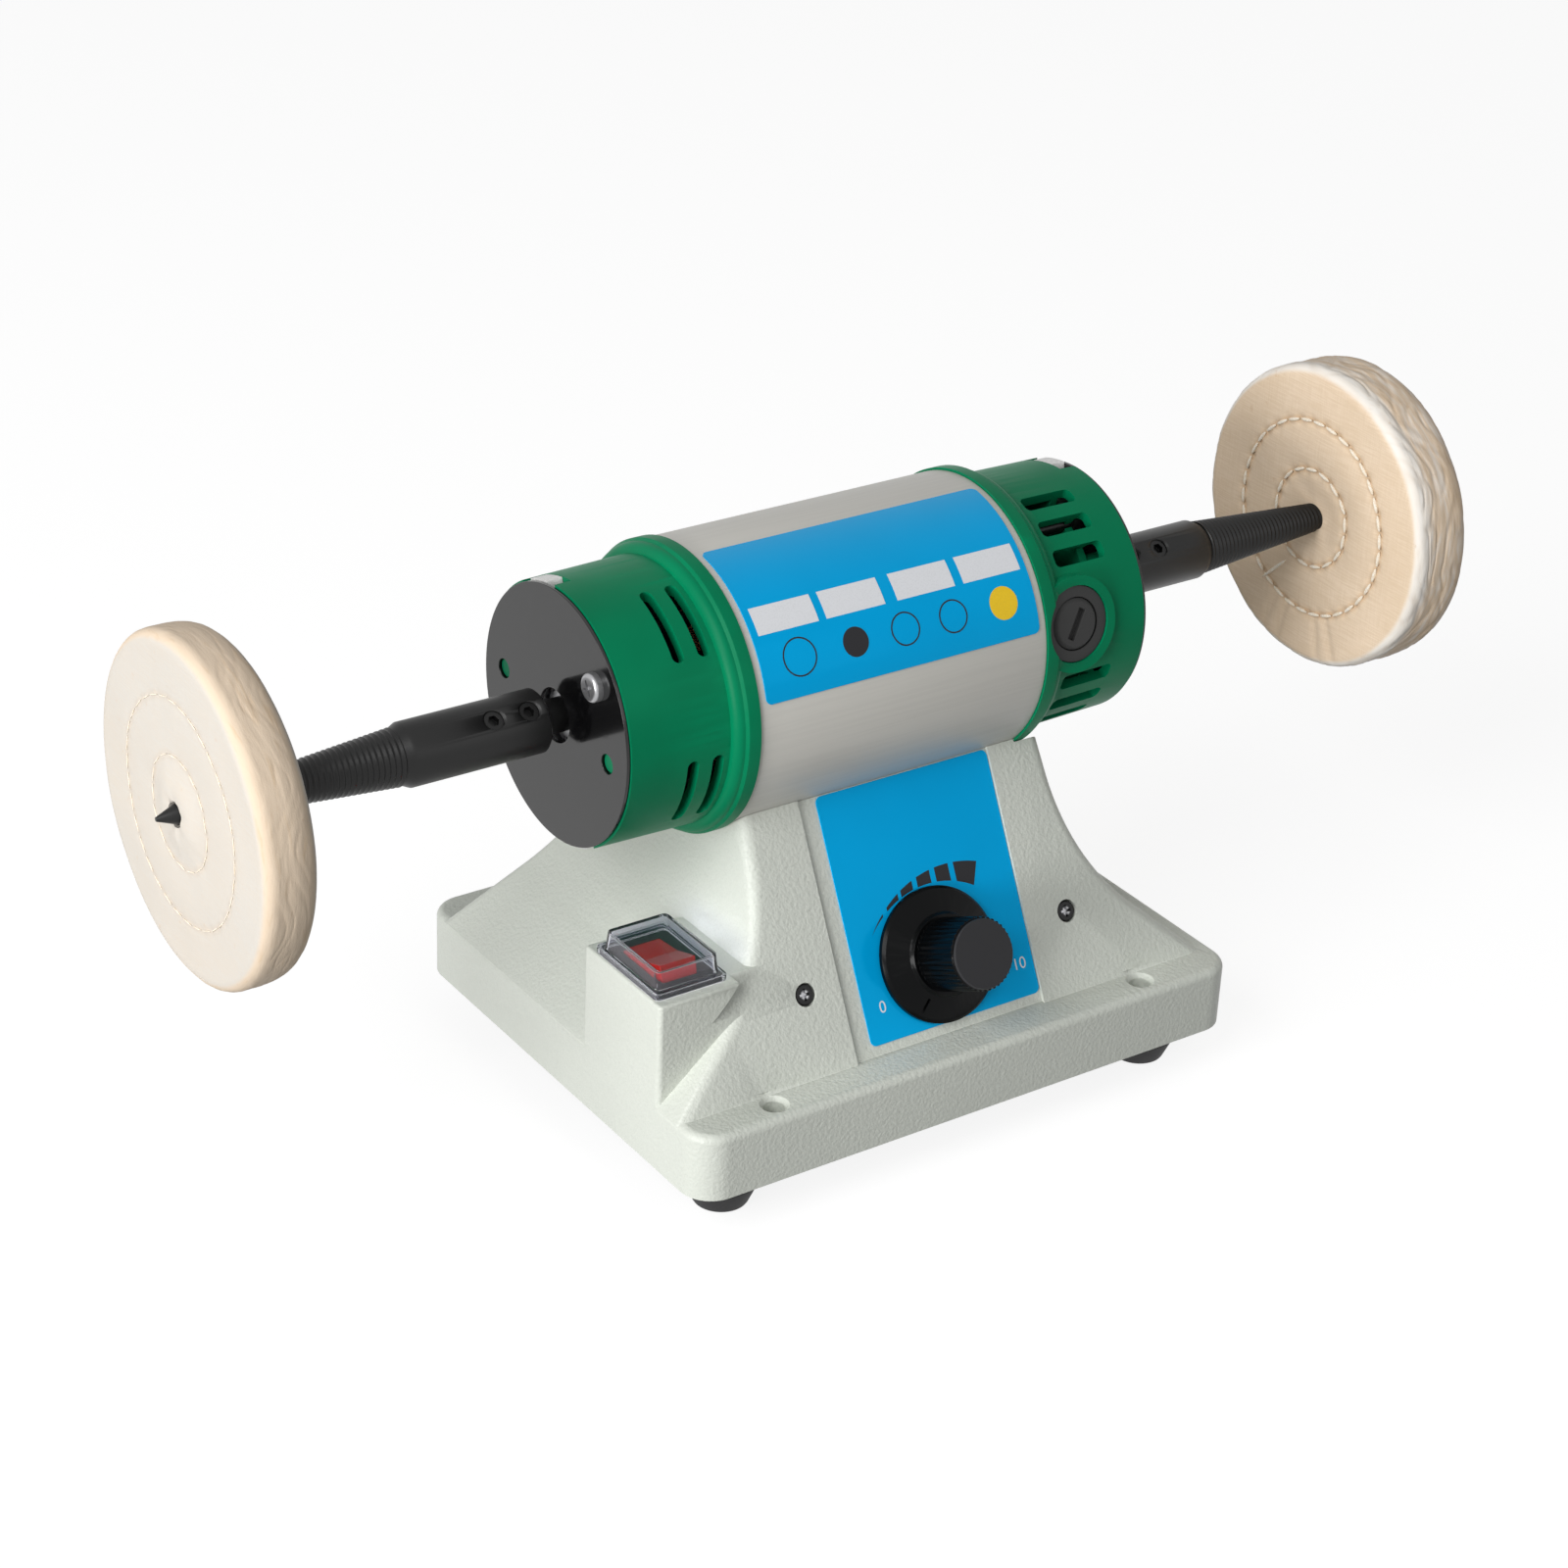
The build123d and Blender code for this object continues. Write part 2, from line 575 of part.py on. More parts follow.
def base_casting():
    body = pedestal(0, PLINTH_TOP - LAP, SADDLE_Z + PED_OVER)
    arrises = [e for e in body.edges() if abs(e.tangent_at(0.5).Z) > 0.1]
    body = fillet(arrises, ARRIS_R)
    recess = Box(2 * RECESS_HALF, FACE_L + 2 * LAP, DRILL, align=MIN_Z)
    body -= FRONT * Pos(RECESS_X - PANEL_X, FACE_L / 2, -RECESS_DEPTH) * recess
    plinth = plinth_block(0, PLINTH_Z, PLINTH_TOP)
    plinth = fillet(plinth.edges().group_by(Axis.Z)[-1], PLINTH_EDGE_R)
    block = switch_block(0, PLINTH_TOP - PLINTH_EDGE_R - LAP)
    block = fillet(block.edges().filter_by(Axis.Z).group_by(Axis.X)[0], BLOCK_EDGE_R)
    block = fillet(block.edges().group_by(Axis.Z)[-1], BLOCK_TOP_EDGE_R)
    outer = plinth + body + (block - block_end(0))
    outer -= rod(TUBE_R + SEAT_GAP, -FAR, FAR)
    outer -= rod(FLANGE_R + FLANGE_GAP, TUBE_X1 - FLANGE_GAP, FAR)

    hollow = pedestal(WALL, PLINTH_TOP - WALL - LAP, CAVITY_TOP)
    hollow += plinth_block(WALL, PLINTH_Z - LAP, PLINTH_TOP - WALL)
    hollow += switch_block(BLOCK_WALL, PLINTH_TOP - WALL - LAP) - block_end(WALL)
    casting = outer - hollow

    roof = PLINTH_TOP - WALL / 2
    for x, y in BENCH_BOLTS:
        casting += upright(BENCH_BOSS_R, x, y, PLATE_TOP, roof)
    for x, y in PLATE_SCREWS:
        casting += upright(PLATE_BOSS_R, x, y, PLATE_TOP, roof)
    casting &= plinth_block(0, PLINTH_Z, AXIS_Z)
    for x, y in BENCH_BOLTS:
        casting -= upright(BENCH_BOLT_R, x, y, 0, PLINTH_TOP + LAP)
        mouth = Cone(BENCH_BOLT_R, BENCH_BOLT_R + 2 * BENCH_MOUTH, 2 * BENCH_MOUTH, align=MIN_Z)
        casting -= Pos(x, y, PLINTH_TOP - BENCH_MOUTH) * mouth
    for x, y in PLATE_SCREWS:
        casting -= upright(M4_R, x, y, PLATE_TOP - LAP, PLATE_TOP + PLATE_SCREW_HOLE)
    for x, y in MOTOR_SCREWS:
        casting -= upright(M5_R + SCREW_GAP, x, y, CAVITY_TOP - LAP, AXIS_Z)

    opening = Box(SWITCH_BODY_W + 2 * SCREW_GAP, SWITCH_BODY_L + 2 * SCREW_GAP, DRILL)
    casting -= Pos(SWITCH_X, SWITCH_Y, BLOCK_TOP) * opening
    casting -= FRONT * Pos(*KNOB_AT) * Cylinder(POT_BUSH_R + SCREW_GAP, DRILL)
    for side in (-1, 1):
        place = FRONT * Pos(side * FRONT_SCREW_DX / 2, FRONT_SCREW_RISE)
        casting -= place * Cylinder(M4_R + SCREW_GAP, DRILL)
        head_room = Cylinder(FRONT_SCREW_HEAD_R + FRONT_HEAD_GAP, DRILL, align=MIN_Z)
        casting -= place * Pos(0, 0, -FRONT_SCREW_SINK) * head_room
    casting -= REAR * Pos(0, GLAND_RISE) * Cylinder(GLAND_R + SCREW_GAP, DRILL)
    return casting


def bottom_plate():
    plate = plinth_block(WALL + PLATE_GAP, PLINTH_Z, PLATE_TOP)
    for x, y in BENCH_BOLTS:
        plate -= upright(BENCH_BOLT_R, x, y, 0, PLATE_TOP + LAP)
    for x, y in PLATE_SCREWS + FEET:
        plate -= upright(M4_R + SCREW_GAP, x, y, 0, PLATE_TOP + LAP)
    return plate


def bottom_plate_screws():
    screw = Rot(180, 0, 0) * pan_screw(M4_R - SHANK_FIT, PLATE_SCREW_L)
    return Part() + [Pos(x, y, PLINTH_Z) * screw for x, y in PLATE_SCREWS]


def rubber_foot(x, y):
    foot = Cone(FOOT_BOTTOM_R, FOOT_TOP_R, FOOT_TAPER_H, align=MIN_Z)
    foot = fillet(foot.edges().group_by(Axis.Z)[0], FOOT_EDGE_R)
    foot += Pos(0, 0, FOOT_TAPER_H) * Cylinder(FOOT_TOP_R, FOOT_H - FOOT_TAPER_H, align=MIN_Z)
    foot -= Cylinder(FOOT_RECESS_R, FOOT_RECESS_H, align=MIN_Z)
    foot -= Cylinder(M4_R + SCREW_GAP, FOOT_H + LAP, align=MIN_Z)
    return Pos(x, y, 0) * foot


def foot_screws():
    length = FOOT_H - FOOT_RECESS_H + PLATE_T + M4_NUT_T + LAP
    screw = Rot(180, 0, 0) * pan_screw(M4_R, length, FOOT_SCREW_HEAD_R)
    nut = extrude(RegularPolygon(M4_NUT_R, 6) - Circle(M4_R + NUT_FIT), M4_NUT_T)
    group = Part()
    for x, y in FEET:
        group += Pos(x, y, FOOT_RECESS_H) * screw
        group += Pos(x, y, PLATE_TOP) * nut
    return group


# ---- motor shell --------------------------------------------------------------------------------
def motor_screw_holes(radius):
    top = AXIS_Z - TUBE_R + MOTOR_SCREW_REACH + SCREW_END
    return Part() + [upright(radius, x, y, CAVITY_TOP - LAP, top) for x, y in MOTOR_SCREWS]


def motor_tube():
    return tube(TUBE_R, TUBE_R - TUBE_T, TUBE_X0, TUBE_X1) - motor_screw_holes(M5_R + THREAD_FIT)


def motor_mount_screws():
    length = AXIS_Z - TUBE_R + MOTOR_SCREW_REACH - CAVITY_TOP
    screw = Rot(180, 0, 0) * pan_screw(M5_R, length, M5_HEAD_R, M5_HEAD_H)
    return Part() + [Pos(x, y, CAVITY_TOP) * screw for x, y in MOTOR_SCREWS]


def cap_shell(side):
    """Turned body of an end cap; side is -1 for the left cap and 1 for the right."""
    root = TUBE_X0 if side < 0 else TUBE_X1
    end = root + side * CAP_L
    flange = root + side * FLANGE_L
    spigot = root - side * SPIGOT_L
    spigot_r = TUBE_R - TUBE_T - SPIGOT_GAP
    bore = CAP_END_R - CAP_T
    cove_top = CAP_ROOT_R + COVE_R
    outline = Polyline((end, bore), (end, CAP_END_R), (flange + side * COVE_R, CAP_ROOT_R))
    outline += RadiusArc((flange + side * COVE_R, CAP_ROOT_R), (flange, cove_top), -side * COVE_R)
    outline += Polyline(
        (flange, cove_top), (flange - side * (FLANGE_R - cove_top), FLANGE_R), (root, FLANGE_R),
        (root, spigot_r), (spigot, spigot_r), (spigot, bore), (end, bore),
    )
    shell = Pos(0, 0, AXIS_Z) * revolve(Plane.XZ * make_face(outline), Axis.X)
    web = end - side * WEB_DEPTH
    return shell + tube(bore + CAP_T / 2, WEB_BORE_R, web, web - side * WEB_T)


def end_cap(side, turn):
    """Cap shell with posts, notches for the bearing bridge and holes for the long bolts."""
    end = (TUBE_X0 if side < 0 else TUBE_X1) + side * CAP_L
    web = end - side * (WEB_DEPTH + WEB_T / 2)
    cap = cap_shell(side)
    for index, angle in enumerate(both_sides(DISC_HOLE_HALF, turn)):
        centre = polar(0, DISC_HOLE_PCR, angle)
        cap += rod(POST_R, web, end, centre)
        if index % 2 == 0:
            cap -= rod(M4_R, end - side * DISC_SCREW_HOLE, end + side * LAP, centre)
        else:
            cap += rod(PIP_R, end - side * LAP, end + side * (DISC_T - PIP_SINK), centre)
    for angle in (turn + 90, turn - 90):
        arm_face = end - side * (BRIDGE_GAP + BRIDGE_ARM_T)
        post = rod(POST_R, web, arm_face, polar(0, BRIDGE_SCREW_R, angle))
        cap += post
        cap -= rod(M4_R, web + side * WEB_T, arm_face + side * LAP, polar(0, BRIDGE_SCREW_R, angle))
        notch = Box(2 * NOTCH_DEPTH, NOTCH_W, 4 * CAP_T)
        cap -= radial(end, angle, CAP_END_R - CAP_T / 2) * notch
    for angle in (THROUGH_BOLT_TURN, THROUGH_BOLT_TURN + 180):
        centre = polar(0, THROUGH_BOLT_PCR, angle)
        cap -= rod(THROUGH_BOLT_R + SCREW_GAP, web - side * WEB_T, web + side * WEB_T, centre)
    return cap


def left_end_cap():
    cap = end_cap(-1, LEFT_TURN)
    end_angle = degrees(LEFT_SLOT_W / 2 / CAP_ROOT_R)
    for x in LEFT_SLOT_X:
        for middle in both_sides(LEFT_SLOT_MID, LEFT_TURN):
            half = LEFT_SLOT_SPAN / 2 - end_angle
            span = (x - LEFT_SLOT_W / 2, x + LEFT_SLOT_W / 2)
            cap -= sector(CAP_END_R - CAP_T - LAP, FLANGE_R, middle, half, *span)
            for tip in (middle - half, middle + half):
                cap -= radial(x, tip, CAP_END_R - 2 * CAP_T) * Cylinder(LEFT_SLOT_W / 2, DRILL, align=MIN_Z)
    return cap


def right_end_cap():
    cap = end_cap(1, RIGHT_TURN)
    for angle in (RIGHT_TURN, RIGHT_TURN + 180):
        boss = radial(BRUSH_X, angle, BOSS_FACE) * Cylinder(BOSS_R, BOSS_DEPTH, align=MAX_Z)
        boss &= rod(FAR, TUBE_X1, FAR)
        cap += boss
        for rise, radius in ((HOLDER_SEAT, HOLDER_FLANGE_R), (HOLDER_FLOOR, HOLDER_R)):
            cap -= radial(BRUSH_X, angle, rise) * Cylinder(radius + HOLDER_GAP, BOSS_FACE, align=MIN_Z)
    slot = RectangleRounded(RIGHT_SLOT_L, RIGHT_SLOT_W, RIGHT_SLOT_CORNER_R)
    for offset in RIGHT_SLOT_ANGLES:
        for angle in both_sides(offset, RIGHT_TURN):
            cap -= radial(RIGHT_SLOT_X, angle, CAP_END_R - 2 * CAP_T) * extrude(slot, DRILL)
    return cap


def end_disc(side, turn):
    inner = LEFT_DISC_IN if side < 0 else RIGHT_DISC_IN
    disc = tube(DISC_R, DISC_BORE_R, inner, inner + side * DISC_T)
    for angle in both_sides(DISC_HOLE_HALF, turn):
        disc -= rod(DISC_HOLE_R, inner - DRILL, inner + DRILL, polar(0, DISC_HOLE_PCR, angle))
    return disc


def facing(side, x, radius, turn):
    """Frame on the motor shell whose z points away from the middle of the motor."""
    return Plane(origin=polar(x, radius, turn), x_dir=(0, 1, 0), z_dir=(side, 0, 0))


def end_disc_screws():
    group = Part()
    for side, inner, turn in ((-1, LEFT_DISC_IN, LEFT_TURN), (1, RIGHT_DISC_IN, RIGHT_TURN)):
        for angle in (turn + DISC_HOLE_HALF, turn + 180 + DISC_HOLE_HALF):
            seat = facing(side, inner + side * DISC_T, DISC_HOLE_PCR, angle)
            group += seat * Rot(0, 0, DISC_SCREW_TURN) * pan_screw(M4_R - SHANK_FIT, DISC_SCREW_L)
    return group


# ---- bearings -----------------------------------------------------------------------------------
def bearing_middle(side):
    inner = LEFT_DISC_IN if side < 0 else RIGHT_DISC_IN
    return inner - side * (BRIDGE_GAP + BEARING_SINK + BEARING_W / 2)


def bearing_bridge(side, turn):
    """Cast bridge across the cap that holds the bearing; its two ends show in the cap's notches."""
    face = (LEFT_DISC_IN if side < 0 else RIGHT_DISC_IN) - side * BRIDGE_GAP
    back = face - side * BRIDGE_ARM_T
    arm = Plane(origin=(min(face, back), 0, AXIS_Z), x_dir=(0, 1, 0), z_dir=(1, 0, 0))
    bar = extrude(arm * Rot(0, 0, 90 - turn) * Rectangle(2 * CAP_END_R, BRIDGE_ARM_W), BRIDGE_ARM_T)
    bridge = (bar & rod(CAP_END_R, face, back)) + rod(BRIDGE_HUB_R, face, face - side * BRIDGE_HUB_L)
    middle = bearing_middle(side)
    pocket_out = middle + side * BEARING_W / 2
    bridge -= rod(BEARING_R, pocket_out, pocket_out - side * FAR)
    bridge -= rod(BEARING_R - BRIDGE_LIP, face - FAR / 2, face + FAR / 2)
    for angle in (turn + 90, turn - 90):
        centre = polar(0, BRIDGE_SCREW_R, angle)
        bridge -= rod(M4_R + SCREW_GAP, face - DRILL, face + DRILL, centre)
        sunk = face - side * BRIDGE_SCREW_SINK
        bridge -= rod(BRIDGE_HEAD_R + BRIDGE_HEAD_GAP, sunk, face + side * LAP, centre)
    for angle in both_sides(DISC_HOLE_HALF, turn):
        bridge -= rod(POST_R + POST_GAP, face - DRILL, face + DRILL, polar(0, DISC_HOLE_PCR, angle))
    return bridge


def bearing_bridge_screws():
    group = Part()
    for side, inner, turn in ((-1, LEFT_DISC_IN, LEFT_TURN), (1, RIGHT_DISC_IN, RIGHT_TURN)):
        for angle in (turn + 90, turn - 90):
            seat = facing(side, inner - side * (BRIDGE_GAP + BRIDGE_SCREW_SINK), BRIDGE_SCREW_R, angle)
            group += seat * pan_screw(M4_R - SHANK_FIT, BRIDGE_SCREW_L, BRIDGE_HEAD_R, BRIDGE_HEAD_H)
    return group


def ball_track(side):
    return Pos(bearing_middle(side), 0, AXIS_Z) * Rot(0, 90, 0) * Torus(BALL_PITCH_R, BALL_R + BALL_GAP)


def bearing_outer_ring(side):
    middle = bearing_middle(side)
    return tube(BEARING_R, RING_OUT_R0, middle - BEARING_W / 2, middle + BEARING_W / 2) - ball_track(side)


def bearing_inner_ring(side):
    middle = bearing_middle(side)
    return tube(RING_IN_R1, BEARING_BORE_R, middle - BEARING_W / 2, middle + BEARING_W / 2) - ball_track(side)


def ball_cage(side):
    """Balls and the ring that spaces them."""
    middle = bearing_middle(side)
    half = BALL_R + CAGE_EDGE
    cage = tube(BALL_PITCH_R + CAGE_T / 2, BALL_PITCH_R - CAGE_T / 2, middle - half, middle + half)
    balls = []
    for index in range(BALL_COUNT):
        place = Pos(*polar(middle, BALL_PITCH_R, 360 * index / BALL_COUNT))
        cage -= place * Sphere(BALL_R + BALL_GAP)
        balls.append(place * Sphere(BALL_R))
    return Part() + [cage, *balls]


# ---- stator -------------------------------------------------------------------------------------
def stator_core():
    core = tube(TUBE_R - TUBE_T - SPIGOT_GAP, YOKE_R, STACK_X0, STACK_X1)
    for angle in (RIGHT_TURN + 90, RIGHT_TURN - 90):
        core += sector(BORE_R, YOKE_R + LAP, angle, POLE_HALF, STACK_X0, STACK_X1)
        core += sector(BORE_R, BORE_R + SHOE_T, angle, SHOE_HALF, STACK_X0, STACK_X1)
    for angle in (THROUGH_BOLT_TURN, THROUGH_BOLT_TURN + 180):
        centre = polar(0, THROUGH_BOLT_PCR, angle)
        core -= rod(THROUGH_BOLT_R + SCREW_GAP, STACK_X0 - LAP, STACK_X1 + LAP, centre)
    return core - motor_screw_holes(M5_R + THREAD_FIT)


def field_coil(turn):
    """Saddle-shaped coil about one pole."""
    x0, x1 = STACK_X0 - COIL_OVERHANG, STACK_X1 + COIL_OVERHANG
    coil = sector(COIL_R0, COIL_R1, turn, COIL_HALF, x0, x1)
    half = POLE_HALF + COIL_POLE_GAP
    return coil - wedge(turn, half, 2 * COIL_R1, STACK_X0 - COIL_GAP, STACK_X1 + COIL_GAP)


def through_bolts():
    """Two long bolts that draw the caps onto the tube, each with its nut."""
    head_x = LEFT_DISC_IN + WEB_DEPTH
    nut_x = RIGHT_DISC_IN - WEB_DEPTH
    group = Part()
    for angle in (THROUGH_BOLT_TURN, THROUGH_BOLT_TURN + 180):
        centre = polar(0, THROUGH_BOLT_PCR, angle)
        group += rod(THROUGH_BOLT_R, head_x, nut_x + THROUGH_NUT_T + SCREW_END, centre)
        group += rod(THROUGH_BOLT_HEAD_R, head_x - PAN_HEAD_H, head_x, centre)
        nut = RegularPolygon(THROUGH_NUT_FLAT / 2, 6, major_radius=False) - Circle(THROUGH_BOLT_R + NUT_FIT)
        flat_out = Rot(0, 0, THROUGH_NUT_TURN - angle)
        group += facing(1, nut_x, THROUGH_BOLT_PCR, angle) * flat_out * extrude(nut, THROUGH_NUT_T)
    return group


# ---- rotor --------------------------------------------------------------------------------------
def rotor_shaft():
    end = SLEEVE_IN + SHAFT_IN_SLEEVE
    left = bearing_middle(-1) + BEARING_W / 2
    right = bearing_middle(1) - BEARING_W / 2
    shaft = rod(SHAFT_R, -end, end) + rod(SHAFT_BODY_R, left, right)
    rims = shaft.edges().filter_by(GeomType.CIRCLE).group_by(Axis.X)
    return chamfer(rims[0] + rims[-1], SHAFT_CHAMFER)


def slot_bars(width, r0, r1, x0, x1):
    bars = Part()
    for index in range(SLOT_COUNT):
        bar = Box(x1 - x0, width, r1 - r0, align=MIN_Z)
        bars += radial((x0 + x1) / 2, 360 * index / SLOT_COUNT, r0) * bar
    return bars


def armature_core():
    core = tube(BORE_R - AIR_GAP, SHAFT_BODY_R, STACK_X0, STACK_X1)
    return core - slot_bars(SLOT_W, SLOT_FLOOR_R, BORE_R + LAP, STACK_X0 - LAP, STACK_X1 + LAP)


def armature_windings():
    gap = WIRE_GAP
    left = tube(WIRE_TOP_R, END_TURN_R0, STACK_X0 - END_TURN_L, STACK_X0 - gap)
    right = tube(WIRE_TOP_R, END_TURN_R0, STACK_X1 + gap, STACK_X1 + END_TURN_L)
    bars = slot_bars(SLOT_W - 2 * gap, SLOT_FLOOR_R + gap, WIRE_TOP_R - gap, STACK_X0 - LAP, STACK_X1 + LAP)
    rounded = [fillet(ring.edges().filter_by(GeomType.CIRCLE), END_TURN_EDGE_R) for ring in (left, right)]
    return bars + rounded


def commutator():
    body = tube(COMM_R, SHAFT_BODY_R, COMM_X0, COMM_X1)
    body += tube(COMM_RISER_R, SHAFT_BODY_R, COMM_X0, COMM_X0 + COMM_RISER_L)
    for index in range(COMM_BARS):
        groove = Box(COMM_X1 - COMM_X0 + 2 * LAP, COMM_GROOVE, DRILL, align=MIN_Z)
        body -= radial((COMM_X0 + COMM_X1) / 2, 360 * index / COMM_BARS, COMM_R - COMM_GROOVE_DEPTH) * groove
    return body


def cooling_fan():
    fan = tube(FAN_HUB_R, SHAFT_BODY_R, FAN_X0, FAN_X1)
    fan += tube(FAN_R, SHAFT_BODY_R, FAN_X1 - FAN_T, FAN_X1)
    for index in range(FAN_BLADES):
        depth = FAN_X1 - FAN_X0 - FAN_T
        blade = Box(depth, FAN_T, FAN_R - FAN_HUB_R, align=MIN_Z)
        fan += radial(FAN_X1 - depth / 2, 360 * index / FAN_BLADES, FAN_HUB_R - LAP) * blade
    return fan


def thread_radius(x):
    """Crest radius of the taper at distance x from the middle of the lathe."""
    share = (x - THREAD_START) / (THREAD_END - THREAD_START)
    return THREAD_START_R + share * (THREAD_END_R - THREAD_START_R)


def spindle(side, set_screws):
    profile = [(SLEEVE_IN, 0), (SLEEVE_IN, SLEEVE_R - SLEEVE_CHAMFER)]
    profile += [(SLEEVE_IN + SLEEVE_CHAMFER, SLEEVE_R), (SLEEVE_OUT, SLEEVE_R)]
    profile.append((THREAD_START - THREAD_PITCH / 2, THREAD_START_R - THREAD_DEPTH))
    x = THREAD_START
    while x + THREAD_PITCH / 2 < THREAD_END:
        profile.append((x, thread_radius(x)))
        profile.append((x + THREAD_PITCH / 2, thread_radius(x) - THREAD_DEPTH))
        x += THREAD_PITCH
    profile += [(THREAD_END, THREAD_END_R), (TIP_X, POINT_R), (TIP_X, 0)]
    body = turned(*[(side * px, r) for px, r in profile])
    body -= rod(SHAFT_R + SLEEVE_FIT, 0, side * (SLEEVE_IN + SHAFT_IN_SLEEVE + LAP))
    for offset in set_screws:
        place = radial(side * (SLEEVE_OUT - offset), SET_SCREW_TURN, SHAFT_R - LAP)
        body -= place * Cylinder(SET_SCREW_R, SLEEVE_R, align=MIN_Z)
        mouth = radial(side * (SLEEVE_OUT - offset), SET_SCREW_TURN, SLEEVE_R - SET_SCREW_MOUTH)
        flare = 2 * SET_SCREW_MOUTH
        body -= mouth * Cone(SET_SCREW_R, SET_SCREW_R + flare, flare, align=MIN_Z)
    return body


def spindle_set_screws():
    length = SLEEVE_R - SET_SCREW_SINK - SHAFT_R
    screw = Cylinder(SET_SCREW_R, length, align=MIN_Z)
    screw -= Pos(0, 0, length) * extrude(RegularPolygon(SET_SCREW_KEY_R, 6), SET_SCREW_KEY_DEPTH, both=True)
    group = Part()
    for side, offsets in ((-1, LEFT_SET_SCREWS), (1, RIGHT_SET_SCREWS)):
        for offset in offsets:
            group += radial(side * (SLEEVE_OUT - offset), SET_SCREW_TURN, SHAFT_R) * screw
    return group


def buff(side):
    """Stack of cotton discs, drawn in at its two circles of stitches."""
    half = BUFF_T / 2
    middle = BUFF_IN + half
    inner, outer = STITCH_R
    rim = BUFF_R - BUFF_EDGE_R

    def face_line(sign):
        drawn = middle + sign * (half - STITCH_SINK)
        full = middle + sign * half
        near_hub = (full - sign * BUFF_HUB_SINK, (BUFF_HUB_R + inner) / 2)
        line = Line((drawn, 0), (drawn, BUFF_HUB_R))
        line += ThreePointArc((drawn, BUFF_HUB_R), near_hub, (drawn, inner))
        line += ThreePointArc((drawn, inner), (full, (inner + outer) / 2), (drawn, outer))
        line += ThreePointArc((drawn, outer), (full, (outer + rim) / 2), (full - sign * BUFF_EDGE_SINK, rim))
        return line

    edge = half - BUFF_EDGE_SINK
    rim_arc = ThreePointArc((middle - edge, rim), (middle, BUFF_R), (middle + edge, rim))
    across = Line((middle - half + STITCH_SINK, 0), (middle + half - STITCH_SINK, 0))
    body = revolve(Plane.XZ * make_face(face_line(-1) + face_line(1) + rim_arc + across), Axis.X)
    bore = [(x, thread_radius(x) + BUFF_FIT) for x in (TIP_X, BUFF_IN - LAP)]
    body -= revolve(Plane.XZ * Polygon((BUFF_IN - LAP, 0), (TIP_X, 0), *bore, align=None), Axis.X)
    body = Pos(0, 0, AXIS_Z) * body
    return body if side > 0 else mirror(body, Plane.YZ)


# ---- brushes ------------------------------------------------------------------------------------
def brush_holder(turn):
    def on_axis(rise, solid):
        return radial(BRUSH_X, turn, rise) * solid

    holder = on_axis(HOLDER_SEAT, Cylinder(HOLDER_FLANGE_R, HOLDER_FACE - HOLDER_SEAT, align=MIN_Z))
    holder += on_axis(HOLDER_FLOOR, Cylinder(HOLDER_R, HOLDER_SEAT - HOLDER_FLOOR, align=MIN_Z))
    slide = Box(BRUSH_L + 2 * BRUSH_SLIDE, BRUSH_W + 2 * BRUSH_SLIDE, HOLDER_FACE, align=MIN_Z)
    holder -= on_axis(HOLDER_FLOOR - LAP, slide)
    stem_room = Cylinder(BRUSH_CAP_STEM_R + BRUSH_SLIDE, DRILL, align=MIN_Z)
    holder -= on_axis(BRUSH_CAP_END - BRUSH_END_GAP, stem_room)
    holder -= on_axis(BRUSH_CAP_SEAT, Cylinder(BRUSH_CAP_R + BRUSH_CAP_GAP, DRILL, align=MIN_Z))
    return holder


def brush(turn):
    """Carbon block, hollowed to the commutator."""
    foot = COMM_R - BRUSH_W / 2
    block = radial(BRUSH_X, turn, foot) * Box(BRUSH_L, BRUSH_W, BRUSH_TOP - foot, align=MIN_Z)
    return block - rod(COMM_R + BRUSH_GAP, BRUSH_X - BRUSH_L, BRUSH_X + BRUSH_L)


def brush_spring(turn):
    length = BRUSH_CAP_END - BRUSH_TOP
    coil = Cylinder(SPRING_R, length, align=MIN_Z) - Cylinder(SPRING_R - SPRING_WIRE, length, align=MIN_Z)
    return radial(BRUSH_X, turn, BRUSH_TOP) * coil


def brush_cap(turn):
    head_h = BRUSH_CAP_FACE - BRUSH_CAP_SEAT
    head = Cylinder(BRUSH_CAP_R, head_h, align=MIN_Z)
    head = chamfer(head.edges().group_by(Axis.Z)[-1], BRUSH_CAP_EDGE)
    head += Cylinder(BRUSH_CAP_STEM_R, BRUSH_CAP_SEAT - BRUSH_CAP_END, align=MAX_Z)
    slot = Box(BRUSH_CAP_SLOT_L, BRUSH_CAP_SLOT_W, 2 * BRUSH_CAP_SLOT_DEPTH)
    head -= Pos(0, 0, head_h) * Rot(0, 0, BRUSH_CAP_SLOT_TURN) * slot
    return radial(BRUSH_X, turn, BRUSH_CAP_SEAT) * head


# ---- labels and front controls ------------------------------------------------------------------
def motor_label():
    middle = (MOTOR_LABEL_LOW + MOTOR_LABEL_HIGH) / 2
    half = (MOTOR_LABEL_HIGH - MOTOR_LABEL_LOW) / 2
    outer = TUBE_R + LABEL_T
    sheet = sector(TUBE_R, outer, middle, half, MOTOR_LABEL_X0, MOTOR_LABEL_X1)
    corner_edges = sheet.edges().filter_by(lambda e: abs(e.length - LABEL_T) < LABEL_T / 10)
    return fillet(corner_edges, LABEL_CORNER_R)


